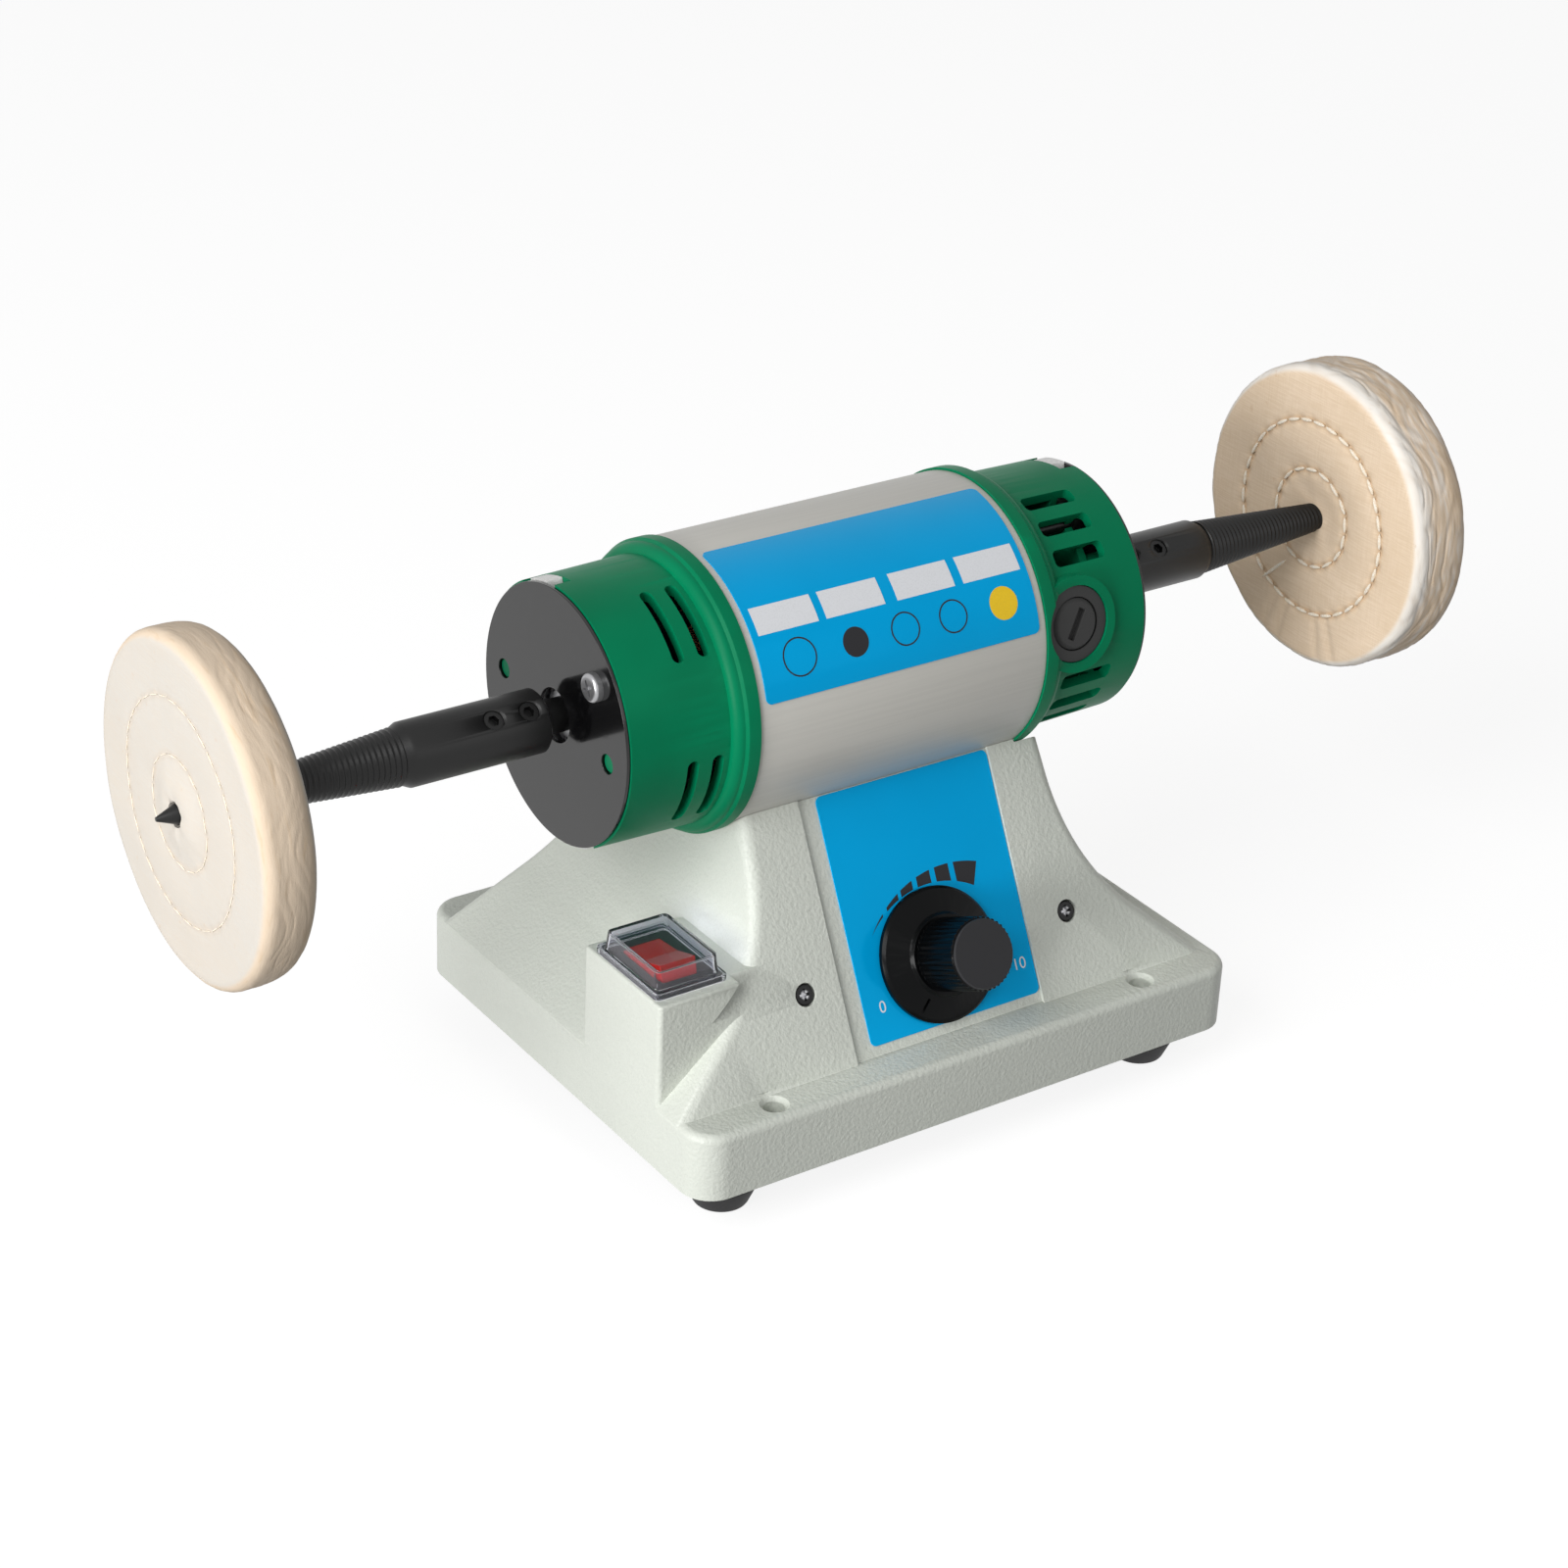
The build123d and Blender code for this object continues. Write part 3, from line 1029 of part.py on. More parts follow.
def front_label():
    outline = RectangleRounded(FRONT_LABEL_W, FRONT_LABEL_H, LABEL_CORNER_R)
    sheet = Pos(*FRONT_LABEL_AT, -RECESS_DEPTH) * extrude(outline, LABEL_T)
    sheet -= Pos(*KNOB_AT) * Cylinder(POT_BUSH_R + SCREW_GAP, DRILL)
    return (FRONT * sheet) - rod(TUBE_R + SEAT_GAP, -FAR, FAR)


def front_screws():
    length = WALL - FRONT_SCREW_SINK + BRACKET_T + SCREW_END
    screw = pan_screw(M4_R, length, FRONT_SCREW_HEAD_R, FRONT_SCREW_HEAD_H)
    group = Part()
    for side in (-1, 1):
        group += FRONT * Pos(side * FRONT_SCREW_DX / 2, FRONT_SCREW_RISE, -FRONT_SCREW_SINK) * screw
    return group


def speed_knob():
    """Fluted grip on a flared skirt, with a line cut in the skirt."""
    height = KNOB_TOP - SKIRT_BASE
    root_x, root_h = GRIP_ROOT_EDGE
    shoulder = SKIRT_T + GRIP_ROOT_H
    flare = [(0, 0), (SKIRT_R, 0), (SKIRT_R, SKIRT_T - SKIRT_EDGE), (SKIRT_R - SKIRT_EDGE, SKIRT_T)]
    flare += [(GRIP_ROOT_R, shoulder), (GRIP_ROOT_R - root_x, shoulder + root_h), (0, shoulder + root_h)]
    knob = revolve(Plane.XZ * Polygon(*flare, align=None), Axis.Z)
    count = 2 * GRIP_FLUTES
    radii = [GRIP_R - FLUTE_DEPTH * (index % 2) for index in range(count)]
    star = [(r * cos(2 * pi * i / count), r * sin(2 * pi * i / count)) for i, r in enumerate(radii)]
    knob += extrude(Polygon(*star, align=None), height - GRIP_EDGE_H)
    face_r = GRIP_R - FLUTE_DEPTH
    knob += Pos(0, 0, height - GRIP_EDGE_H) * Cone(face_r, face_r - GRIP_DRAFT, GRIP_EDGE_H, align=MIN_Z)
    knob -= Cylinder(POT_NUT_R + POT_NUT_GAP, POT_NUT_T + 2 * POT_NUT_GAP, align=MIN_Z)
    knob -= Cylinder(POT_SHAFT_R, height - KNOB_FACE_T, align=MIN_Z)
    pointer = Box(SKIRT_R - GRIP_ROOT_R, POINTER_W, POINTER_DEPTH)
    pointer_x = (SKIRT_R + GRIP_ROOT_R) / 2 + LAP
    knob -= Rot(0, 0, POINTER_TURN) * Pos(pointer_x, 0, SKIRT_T + SKIRT_EDGE) * pointer
    return FRONT * Pos(*KNOB_AT, SKIRT_BASE) * knob


def potentiometer_shaft():
    top = KNOB_TOP - KNOB_FACE_T - POT_END_GAP
    back = -WALL - BRACKET_T - POT_L / 2
    shaft = Cylinder(POT_SHAFT_R, top - back, align=MIN_Z)
    wiper = Cylinder(WIPER_R, WIPER_T, align=MIN_Z)
    return FRONT * Pos(*KNOB_AT, back) * (shaft + wiper)


def potentiometer_body():
    seat = -WALL - BRACKET_T
    middle = -POT_L / 2
    can = Cylinder(POT_R, POT_L, align=MAX_Z)
    can += Cylinder(POT_BUSH_R, LABEL_FACE + POT_NUT_T + POT_BUSH_END - seat, align=MIN_Z)
    room = Cylinder(WIPER_R + WIPER_GAP, WIPER_T + 2 * WIPER_GAP, align=MIN_Z)
    can -= Pos(0, 0, middle - WIPER_GAP) * room
    can -= Pos(0, 0, middle) * Cylinder(POT_SHAFT_R + POT_FIT, FAR, align=MIN_Z)
    tag = Box(*POT_TAG_SIZE)
    tags = [Pos(x, -POT_R - POT_TAG_SIZE[1] / 3, middle - POT_L / 4) * tag for x in POT_TAG_X]
    return FRONT * Pos(*KNOB_AT, seat) * (can + tags)


def potentiometer_nut():
    nut = extrude(RegularPolygon(POT_NUT_R, 6) - Circle(POT_BUSH_R + NUT_FIT), POT_NUT_T)
    return FRONT * Pos(*KNOB_AT, LABEL_FACE) * nut


def control_bracket():
    """Steel strip behind the front face that the front screws and the potentiometer share."""
    strip = Pos(0, KNOB_AT[1], -WALL) * Box(BRACKET_W, BRACKET_H, BRACKET_T, align=MAX_Z)
    strip -= Pos(*KNOB_AT) * Cylinder(POT_BUSH_R + SCREW_GAP, DRILL)
    for side in (-1, 1):
        strip -= Pos(side * FRONT_SCREW_DX / 2, FRONT_SCREW_RISE) * Cylinder(M4_R + THREAD_FIT, DRILL)
    return FRONT * strip


def control_board():
    """Speed control board on four stand-offs, with its capacitor, choke and power switch on a heat sink."""
    z = PLATE_TOP + BOARD_RISE
    top = z + BOARD_T
    leg_x, leg_y = BOARD_L / 2 - BOARD_LEG_INSET, BOARD_W / 2 - BOARD_LEG_INSET

    def on_board(place, solid, rise=0.0):
        return Pos(PED_X + place[0], BOARD_Y + place[1], top + rise) * solid

    board = Pos(PED_X, BOARD_Y, z) * Box(BOARD_L, BOARD_W, BOARD_T, align=MIN_Z)
    legs = [
        upright(BOARD_LEG_R, PED_X + sx * leg_x, BOARD_Y + sy * leg_y, PLATE_TOP, z)
        for sx in (-1, 1) for sy in (-1, 1)
    ]
    capacitor = on_board(CAPACITOR_AT, Box(*CAPACITOR_SIZE, align=MIN_Z))
    ring = Cylinder(CHOKE_R, CHOKE_H, align=MIN_Z) - Cylinder(CHOKE_BORE_R, CHOKE_H, align=MIN_Z)
    choke = on_board(CHOKE_AT, ring)
    sink = on_board(SINK_AT, Box(*SINK_SIZE, align=MIN_Z))
    for index in range(SINK_SLOTS):
        place = (SINK_AT[0] + SINK_SIZE[0] / 2, (index - (SINK_SLOTS - 1) / 2) * SINK_PITCH)
        sink -= on_board(place, Box(2 * SINK_SLOT_DEPTH, SINK_SLOT_W, SINK_SIZE[2], align=MIN_Z), SINK_FLOOR)
    return board + legs + [capacitor, choke, sink]


# ---- switch -------------------------------------------------------------------------------------
PIVOT = Vector(SWITCH_X, SWITCH_Y, BLOCK_TOP - PIVOT_DROP)
PIVOT_L = ROCKER_W + 4 * PIVOT_R


def switch_body():
    """Switch case with the frame that rests on the block."""
    top = Pos(SWITCH_X, SWITCH_Y, BLOCK_TOP)
    frame = extrude(RectangleRounded(FRAME_W, FRAME_L, FRAME_CORNER_R), FRAME_T)
    case = Box(SWITCH_BODY_W, SWITCH_BODY_L, SWITCH_BODY_H, align=MAX_Z)
    well = Box(ROCKER_W + 2 * ROCKER_GAP, ROCKER_L + 4 * ROCKER_GAP, SWITCH_WELL_H + FRAME_T)
    body = top * (frame + case) - Pos(*PIVOT) * Pos(0, 0, FRAME_T / 2) * well
    pins = Rot(0, 90, 0) * Cylinder(PIVOT_R + PIVOT_FIT, PIVOT_L + 2 * PIVOT_END_GAP)
    return body - Pos(*PIVOT) * pins


def switch_rocker():
    half, keel = ROCKER_L / 2, ROCKER_KEEL_HALF
    outline = [(-half, ROCKER_RISE), (-half, -ROCKER_SIDE_DROP), (-keel, -ROCKER_KEEL), (keel, -ROCKER_KEEL)]
    outline += [(half, -ROCKER_SIDE_DROP), (half, ROCKER_RISE), (0, ROCKER_DIP)]
    face = Plane.YZ * Polygon(*outline, align=None)
    rocker = extrude(face, ROCKER_W / 2, both=True)
    rocker += Rot(0, 90, 0) * Cylinder(PIVOT_R, PIVOT_L)
    return Pos(*PIVOT) * Rot(-ROCKER_TILT, 0, 0) * rocker


def switch_terminals():
    low = BLOCK_TOP - SWITCH_BODY_H
    blade = Box(*TERMINAL_SIZE, align=MAX_Z)
    places = [(sx * TERMINAL_DX / 2, sy * TERMINAL_DY / 2) for sx in (-1, 1) for sy in (-1, 1)]
    return Part() + [Pos(SWITCH_X + dx, SWITCH_Y + dy, low) * blade for dx, dy in places]


def switch_cover():
    """Clear cap over the rocker, with a foot that grips the switch frame."""
    def hood(thickness, corner_r):
        """Tapered block, drawn in by `thickness` on its sides and top."""
        low = RectangleRounded(COVER_W - 2 * thickness, COVER_L - 2 * thickness, corner_r)
        high = RectangleRounded(COVER_TOP_W - 2 * thickness, COVER_TOP_L - 2 * thickness, corner_r)
        return loft([low, Pos(0, 0, COVER_H - thickness) * high])

    foot = extrude(RectangleRounded(COVER_FOOT_W, COVER_FOOT_L, COVER_FOOT_CORNER_R), COVER_FOOT_T)
    seat = RectangleRounded(FRAME_W + 2 * COVER_FIT, FRAME_L + 2 * COVER_FIT, FRAME_CORNER_R + COVER_FIT)
    cover = foot + hood(0, COVER_CORNER_R) - hood(COVER_T, COVER_ROOM_CORNER_R)
    cover -= extrude(seat, FRAME_T + COVER_SEAT_GAP)
    return Pos(SWITCH_X, SWITCH_Y, BLOCK_TOP) * cover


# ---- cable entry --------------------------------------------------------------------------------
def cable_gland():
    """Screwed gland with a hexagon outside, a nut inside and a bore for the cord."""
    dome_root, dome_end = GLAND_DOME_R
    nut = Pos(0, 0, -WALL - GLAND_NUT_T) * extrude(RegularPolygon(GLAND_NUT_R, 6), GLAND_NUT_T)
    gland = nut + Cylinder(GLAND_R, WALL + GLAND_NUT_T + GLAND_THREAD_END, align=MAX_Z)
    gland += extrude(RegularPolygon(GLAND_HEX_R, 6), GLAND_HEX_T)
    gland += Pos(0, 0, GLAND_HEX_T) * Cone(dome_root, dome_end, GLAND_L - GLAND_HEX_T, align=MIN_Z)
    gland -= Cylinder(GLAND_BORE_R, FAR)
    return REAR * Pos(0, GLAND_RISE) * gland


PARTS = {
    "base_casting": base_casting,
    "bottom_plate": bottom_plate,
    "bottom_plate_screws": bottom_plate_screws,
    "rubber_foot_front_left": lambda: rubber_foot(*FEET[0]),
    "rubber_foot_front_right": lambda: rubber_foot(*FEET[1]),
    "rubber_foot_back_left": lambda: rubber_foot(*FEET[2]),
    "rubber_foot_back_right": lambda: rubber_foot(*FEET[3]),
    "foot_screws": foot_screws,
    "motor_tube": motor_tube,
    "motor_mount_screws": motor_mount_screws,
    "left_end_cap": left_end_cap,
    "right_end_cap": right_end_cap,
    "left_end_disc": lambda: end_disc(-1, LEFT_TURN),
    "right_end_disc": lambda: end_disc(1, RIGHT_TURN),
    "end_disc_screws": end_disc_screws,
    "left_bearing_bridge": lambda: bearing_bridge(-1, LEFT_TURN),
    "right_bearing_bridge": lambda: bearing_bridge(1, RIGHT_TURN),
    "bearing_bridge_screws": bearing_bridge_screws,
    "left_bearing_outer_ring": lambda: bearing_outer_ring(-1),
    "right_bearing_outer_ring": lambda: bearing_outer_ring(1),
    "left_bearing_inner_ring": lambda: bearing_inner_ring(-1),
    "right_bearing_inner_ring": lambda: bearing_inner_ring(1),
    "left_ball_cage": lambda: ball_cage(-1),
    "right_ball_cage": lambda: ball_cage(1),
    "stator_core": stator_core,
    "upper_field_coil": lambda: field_coil(RIGHT_TURN + 90),
    "lower_field_coil": lambda: field_coil(RIGHT_TURN - 90),
    "through_bolts": through_bolts,
    "rotor_shaft": rotor_shaft,
    "armature_core": armature_core,
    "armature_windings": armature_windings,
    "commutator": commutator,
    "cooling_fan": cooling_fan,
    "left_spindle": lambda: spindle(-1, LEFT_SET_SCREWS),
    "right_spindle": lambda: spindle(1, RIGHT_SET_SCREWS),
    "spindle_set_screws": spindle_set_screws,
    "left_buff": lambda: buff(-1),
    "right_buff": lambda: buff(1),
    "front_brush_holder": lambda: brush_holder(RIGHT_TURN),
    "rear_brush_holder": lambda: brush_holder(RIGHT_TURN + 180),
    "front_brush": lambda: brush(RIGHT_TURN),
    "rear_brush": lambda: brush(RIGHT_TURN + 180),
    "front_brush_spring": lambda: brush_spring(RIGHT_TURN),
    "rear_brush_spring": lambda: brush_spring(RIGHT_TURN + 180),
    "front_brush_cap": lambda: brush_cap(RIGHT_TURN),
    "rear_brush_cap": lambda: brush_cap(RIGHT_TURN + 180),
    "motor_label": motor_label,
    "front_label": front_label,
    "front_screws": front_screws,
    "speed_knob": speed_knob,
    "potentiometer_shaft": potentiometer_shaft,
    "potentiometer_body": potentiometer_body,
    "potentiometer_nut": potentiometer_nut,
    "control_bracket": control_bracket,
    "control_board": control_board,
    "switch_body": switch_body,
    "switch_rocker": switch_rocker,
    "switch_terminals": switch_terminals,
    "switch_cover": switch_cover,
    "cable_gland": cable_gland,
}

os.makedirs("parts", exist_ok=True)
for name, make in PARTS.items():
    export_step(make(), f"parts/{name}.step")
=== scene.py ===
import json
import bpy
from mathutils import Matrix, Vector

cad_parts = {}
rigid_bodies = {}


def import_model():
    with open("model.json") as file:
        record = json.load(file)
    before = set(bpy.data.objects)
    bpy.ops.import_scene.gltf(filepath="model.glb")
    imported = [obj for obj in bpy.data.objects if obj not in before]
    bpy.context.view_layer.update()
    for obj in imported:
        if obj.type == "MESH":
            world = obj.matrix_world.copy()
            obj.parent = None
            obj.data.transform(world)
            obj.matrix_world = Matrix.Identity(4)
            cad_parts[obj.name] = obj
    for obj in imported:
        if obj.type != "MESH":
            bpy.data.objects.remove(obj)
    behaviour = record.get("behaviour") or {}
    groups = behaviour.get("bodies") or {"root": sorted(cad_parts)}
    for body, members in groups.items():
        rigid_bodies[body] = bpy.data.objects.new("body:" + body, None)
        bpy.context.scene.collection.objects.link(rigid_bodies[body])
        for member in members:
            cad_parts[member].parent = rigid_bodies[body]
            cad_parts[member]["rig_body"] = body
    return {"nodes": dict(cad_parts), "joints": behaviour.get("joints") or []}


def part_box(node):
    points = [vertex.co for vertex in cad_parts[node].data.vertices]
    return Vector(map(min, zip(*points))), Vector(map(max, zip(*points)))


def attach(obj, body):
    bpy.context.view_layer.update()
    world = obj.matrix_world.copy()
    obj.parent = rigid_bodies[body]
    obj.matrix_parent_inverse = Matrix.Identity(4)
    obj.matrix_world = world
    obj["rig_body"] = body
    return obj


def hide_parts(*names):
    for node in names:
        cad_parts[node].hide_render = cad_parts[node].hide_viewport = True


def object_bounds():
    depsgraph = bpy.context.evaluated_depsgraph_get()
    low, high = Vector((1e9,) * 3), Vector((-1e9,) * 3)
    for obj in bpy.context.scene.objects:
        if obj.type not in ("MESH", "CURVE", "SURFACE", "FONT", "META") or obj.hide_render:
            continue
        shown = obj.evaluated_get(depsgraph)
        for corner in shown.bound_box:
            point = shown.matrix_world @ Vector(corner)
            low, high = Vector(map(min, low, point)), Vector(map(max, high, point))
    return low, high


bl_info = {
    "name": "Bench polishing lathe",
    "version": (1, 0, 0),
    "blender": (4, 5, 0),
    "location": "3D View > Sidebar > Lathe",
    "description": "Paint, mouldings, machined parts, prints and cloth buffs for a bench polishing lathe",
    "category": "Object",
}

from math import atan2, cos, exp, pi, radians, sin, sqrt, tau

import bmesh
import bpy
from bpy.props import FloatProperty, FloatVectorProperty, PointerProperty
from mathutils import Matrix, Vector, noise

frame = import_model()
CAD_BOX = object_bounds()
MM = 0.001


# ---- places taken from the frame ----
def joint(name):
    return next(j for j in frame["joints"] if j["name"] == name)


def across(node):
    """Lowest and highest x of a node."""
    low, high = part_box(node)
    return low.x, high.x


def half_height(node):
    low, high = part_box(node)
    return (high.z - low.z) / 2


AXIS_Z = joint("rotor_spin")["pos_m"][2]
TUBE_X0, TUBE_X1 = across("motor_tube")
TUBE_R = half_height("motor_tube")
LABEL_T = 0.4 * MM
FILM_R = TUBE_R + LABEL_T
PLINTH_TOP = 35.6 * MM
PED_FOOT_Y = 66.6 * MM
PANEL_X = 7.2 * MM  # midway between the two front screws
SCREW_REACH = 47.5 * MM  # each front screw from there
SCREW_RISE = 24.3 * MM
OUT = -Vector(joint("knob_turn")["axis"])  # square to the sloping front
UP = Vector((0, OUT.z, -OUT.y))  # up the slope
FRONT_FOOT = Vector((PANEL_X, -PED_FOOT_Y, PLINTH_TOP))
FRONT_FILM = -0.6 * MM  # face of the front film, sunk in its recess
DIAL_AT = (1.3 * MM, 23.4 * MM)  # middle of the dial marks, right and up the slope
PRINT_T = 0.04 * MM  # a printed mark stands this far off its film
KNOB_TOP = 23.9 * MM  # from the sloping front to the turned face of the knob
RIM_FROM, RIM_TO = 46.5 * MM, 48.3 * MM  # radii between which a buff's face becomes its rim
YARN = 0.42 * MM  # from one thread of the weave to the next
LIP_X = across("right_buff")[0] + 2.5 * MM  # pale rolled edge of the right buff


def on_front(x, rise, out=0.0):
    """Frame on the sloping front, from the middle of its foot: x right, y up the slope, z outward."""
    place = FRONT_FOOT + Vector((x, 0, 0)) + UP * rise + OUT * out
    return Matrix(((1, 0, 0, place.x), (0, UP.y, OUT.y, place.y), (0, UP.z, OUT.z, place.z), (0, 0, 0, 1)))


def seen(red, green, blue):
    """A colour as a screen shows it, 0 to 255, in the numbers that a shader takes."""
    return tuple(((c / 255 + 0.055) / 1.055) ** 2.4 if c > 10 else c / 3294.6 for c in (red, green, blue))


# ---- sizes and colours that a user would change ----
def colour(name, description, default):
    return FloatVectorProperty(
        name=name, description=description, subtype="COLOR", min=0, max=1, default=default,
    )


def length(name, description, default):
    return FloatProperty(
        name=name, description=description, subtype="DISTANCE", unit="LENGTH", default=default,
    )


class LatheColours(bpy.types.PropertyGroup):
    enamel: colour("Enamel", "Paint of the base casting", seen(214, 218, 209))
    shell: colour("Motor tube", "Paint of the motor tube", seen(206, 204, 197))
    cap: colour("End caps", "Moulded end caps", seen(2, 128, 86))
    film: colour("Labels", "Printed film of both labels", seen(0, 171, 236))
    cotton: colour("Cotton", "Cloth of the right buff", seen(244, 222, 196))
    washed: colour("Pale cotton", "Cloth of the left buff", seen(210, 205, 197))
    rocker: colour("Rocker", "Switch rocker", seen(150, 10, 16))
    black: colour("Black mouldings", "Knob, switch, gland and brush holders", seen(6, 7, 8))
    oxide: colour("Black steel", "Spindles and set screws", seen(16, 15, 15))
    yellow: colour("Yellow", "Round mark on the motor label", seen(250, 208, 10))


class LatheSizes(bpy.types.PropertyGroup):
    cast_edge: length("Cast edge", "Rounding of the casting's sharp edges", 0.7 * MM)
    moulded_edge: length("Moulded edge", "Rounding of the end caps' edges", 0.45 * MM)
    pressed_edge: length("Pressed edge", "Rounding of sheet metal and screw heads", 0.2 * MM)
    thread_pitch: length("Thread pitch", "Pitch of the spindle thread", 1.65 * MM)
    thread_depth: length("Thread depth", "Depth of the spindle thread", 0.55 * MM)
    stitch: length("Stitch", "Length of one stitch on a buff", 6.0 * MM)
    fold: length("Fold", "Depth of the folds round the rim of a buff", 0.9 * MM)


class LatheStage(bpy.types.PropertyGroup):
    key: FloatProperty(name="Key lamp", description="Low lamp on the left", subtype="POWER", default=20.0)
    high: FloatProperty(name="High lamp", description="High lamp on the left", subtype="POWER", default=15.5)
    fill: FloatProperty(name="Fill lamp", description="Lamp in front, in watts", subtype="POWER", default=1.5)
    sky: FloatProperty(name="Sky", description="Light that comes from all round", default=0.24)
    shadow: FloatProperty(name="Shadow", description="How dark a shadow on the floor may get", default=0.25)


def colours():
    return bpy.context.scene.lathe_colours


def sizes():
    return bpy.context.scene.lathe_sizes


# ---- shader sums ----
def feed(tree, slot, value):
    """Puts a number, a colour or a wire into a node's socket."""
    if isinstance(value, Wire):
        tree.links.new(value.socket, slot)
    elif slot.type == "RGBA" and len(value) == 3:
        slot.default_value = (*value, 1.0)
    else:
        slot.default_value = value


class Wire:
    """A value that changes over a surface. Sums with it add Math nodes."""

    def __init__(self, tree, socket):
        self.tree = tree
        self.socket = socket

    def math(self, operation, *values, clamp=False):
        node = self.tree.nodes.new("ShaderNodeMath")
        node.operation = operation
        node.use_clamp = clamp
        for slot, value in zip(node.inputs, values):
            feed(self.tree, slot, value)
        return Wire(self.tree, node.outputs[0])

    def __add__(self, other):
        return self.math("ADD", self, other)

    def __radd__(self, other):
        return self.math("ADD", other, self)

    def __sub__(self, other):
        return self.math("SUBTRACT", self, other)

    def __rsub__(self, other):
        return self.math("SUBTRACT", other, self)

    def __mul__(self, other):
        return self.math("MULTIPLY", self, other)

    def __rmul__(self, other):
        return self.math("MULTIPLY", other, self)

    def __truediv__(self, other):
        return self.math("DIVIDE", self, other)

    def absolute(self):
        return self.math("ABSOLUTE", self)

    def sine(self):
        return self.math("SINE", self)

    def root(self):
        return self.math("SQRT", self)

    def steps(self, low, high):
        """0 below low, 1 above high, smooth between."""
        node = self.tree.nodes.new("ShaderNodeMapRange")
        node.interpolation_type = "SMOOTHSTEP"
        for name, value in (("Value", self), ("From Min", low), ("From Max", high)):
            feed(self.tree, node.inputs[name], value)
        return Wire(self.tree, node.outputs["Result"])


class Finish:
    """One material: a Principled shader and the nodes that feed it."""

    def __init__(self, name):
        self.material = bpy.data.materials.new(name)
        self.material.use_nodes = True
        self.tree = self.material.node_tree
        self.tree.nodes.clear()
        self.output = self.tree.nodes.new("ShaderNodeOutputMaterial")
        self.shader = self.tree.nodes.new("ShaderNodeBsdfPrincipled")
        self.tree.links.new(self.shader.outputs[0], self.output.inputs["Surface"])
        self.here = self.add("TexCoord", output="Object")

    def add(self, kind, settings=None, sockets=None, output=0):
        """Adds a node: its settings first, then the values or wires of its sockets."""
        node = self.tree.nodes.new("ShaderNode" + kind)
        for name, value in (settings or {}).items():
            setattr(node, name, value)
        for name, value in (sockets or {}).items():
            feed(self.tree, node.inputs[name], value)
        return Wire(self.tree, node.outputs[output])

    def set(self, **values):
        for name, value in values.items():
            feed(self.tree, self.shader.inputs[name.replace("_", " ")], value)
        return self

    def stretched(self, x, y, z):
        """The surface's own coordinates, stretched along each axis."""
        return self.add("Mapping", sockets={"Vector": self.here, "Scale": (x, y, z)})

    def noise(self, scale, detail=2.0, rough=0.5, at=None):
        sockets = {"Vector": at or self.here, "Scale": scale, "Detail": detail, "Roughness": rough}
        return self.add("TexNoise", sockets=sockets, output="Fac")

    def cells(self, scale):
        return self.add("TexVoronoi", sockets={"Vector": self.here, "Scale": scale}, output="Distance")

    def mix(self, share, first, second):
        """Colour between first and second."""
        return self.add("Mix", {"data_type": "RGBA"}, {0: share, 6: first, 7: second}, output=2)

    def xyz(self):
        """The three coordinates of the surface, in metres."""
        node = self.tree.nodes.new("ShaderNodeSeparateXYZ")
        feed(self.tree, node.inputs[0], self.here)
        return [Wire(self.tree, socket) for socket in node.outputs]

    def round_axis(self):
        """Distance from the motor axis and turn about it, in turns."""
        x, y, z = self.xyz()
        rise = z - AXIS_Z
        turn = y.math("ARCTAN2", y, rise)
        return x, (y * y + rise * rise).root(), turn / tau

    def bump(self, height, distance, strength=1.0):
        normal = self.add("Bump", sockets={"Height": height, "Distance": distance, "Strength": strength})
        return self.set(Normal=normal)


# ---- finishes ----
def shade(tone, factor):
    return tuple(min(1.0, c * factor) for c in tone)


def hammered_enamel():
    """Thick light enamel with the orange-peel grain of a sprayed casting."""
    f = Finish("hammered_enamel")
    lumps = f.noise(820, 1.0, 0.4)
    pits = f.noise(1900, 1.0, 0.4)
    wide = f.noise(22, 2.0, 0.5)
    tone = tuple(colours().enamel)
    plain = f.mix(wide.steps(0.35, 0.7), tone, shade(tone, 0.96))
    f.set(Base_Color=f.mix(pits.steps(0.45, 0.7), plain, shade(tone, 0.95)))
    f.set(Roughness=0.32 + 0.16 * lumps, Specular_IOR_Level=0.4)
    return f.bump(lumps + 0.3 * pits, 0.36 * MM, 0.55)


def satin_shell():
    """Satin paint on the drawn tube, with faint draw lines along it."""
    f = Finish("satin_shell")
    grain = f.noise(1800, 1.5, 0.5)
    lines = f.noise(1.0, 2.0, 0.5, f.stretched(18, 900, 900))
    tone = tuple(colours().shell)
    f.set(Base_Color=f.mix(lines.steps(0.4, 0.65), tone, shade(tone, 0.965)))
    f.set(Metallic=0.05, Roughness=0.38 + 0.08 * grain)
    return f.bump(grain + 0.6 * lines, 0.02 * MM, 0.5)


def moulded(name, tone, rough=0.42, grain=0.04, gloss=0.5):
    """Moulded plastic with a fine spark-eroded grain."""
    f = Finish(name)
    f.set(Specular_IOR_Level=gloss)
    fine = f.noise(3600, 1.0, 0.4)
    wide = f.noise(35, 2.0, 0.5)
    f.set(Base_Color=f.mix(wide.steps(0.3, 0.75), tone, shade(tone, 0.86)))
    f.set(Roughness=rough + 0.12 * wide)
    return f.bump(fine, grain * MM, 0.5)


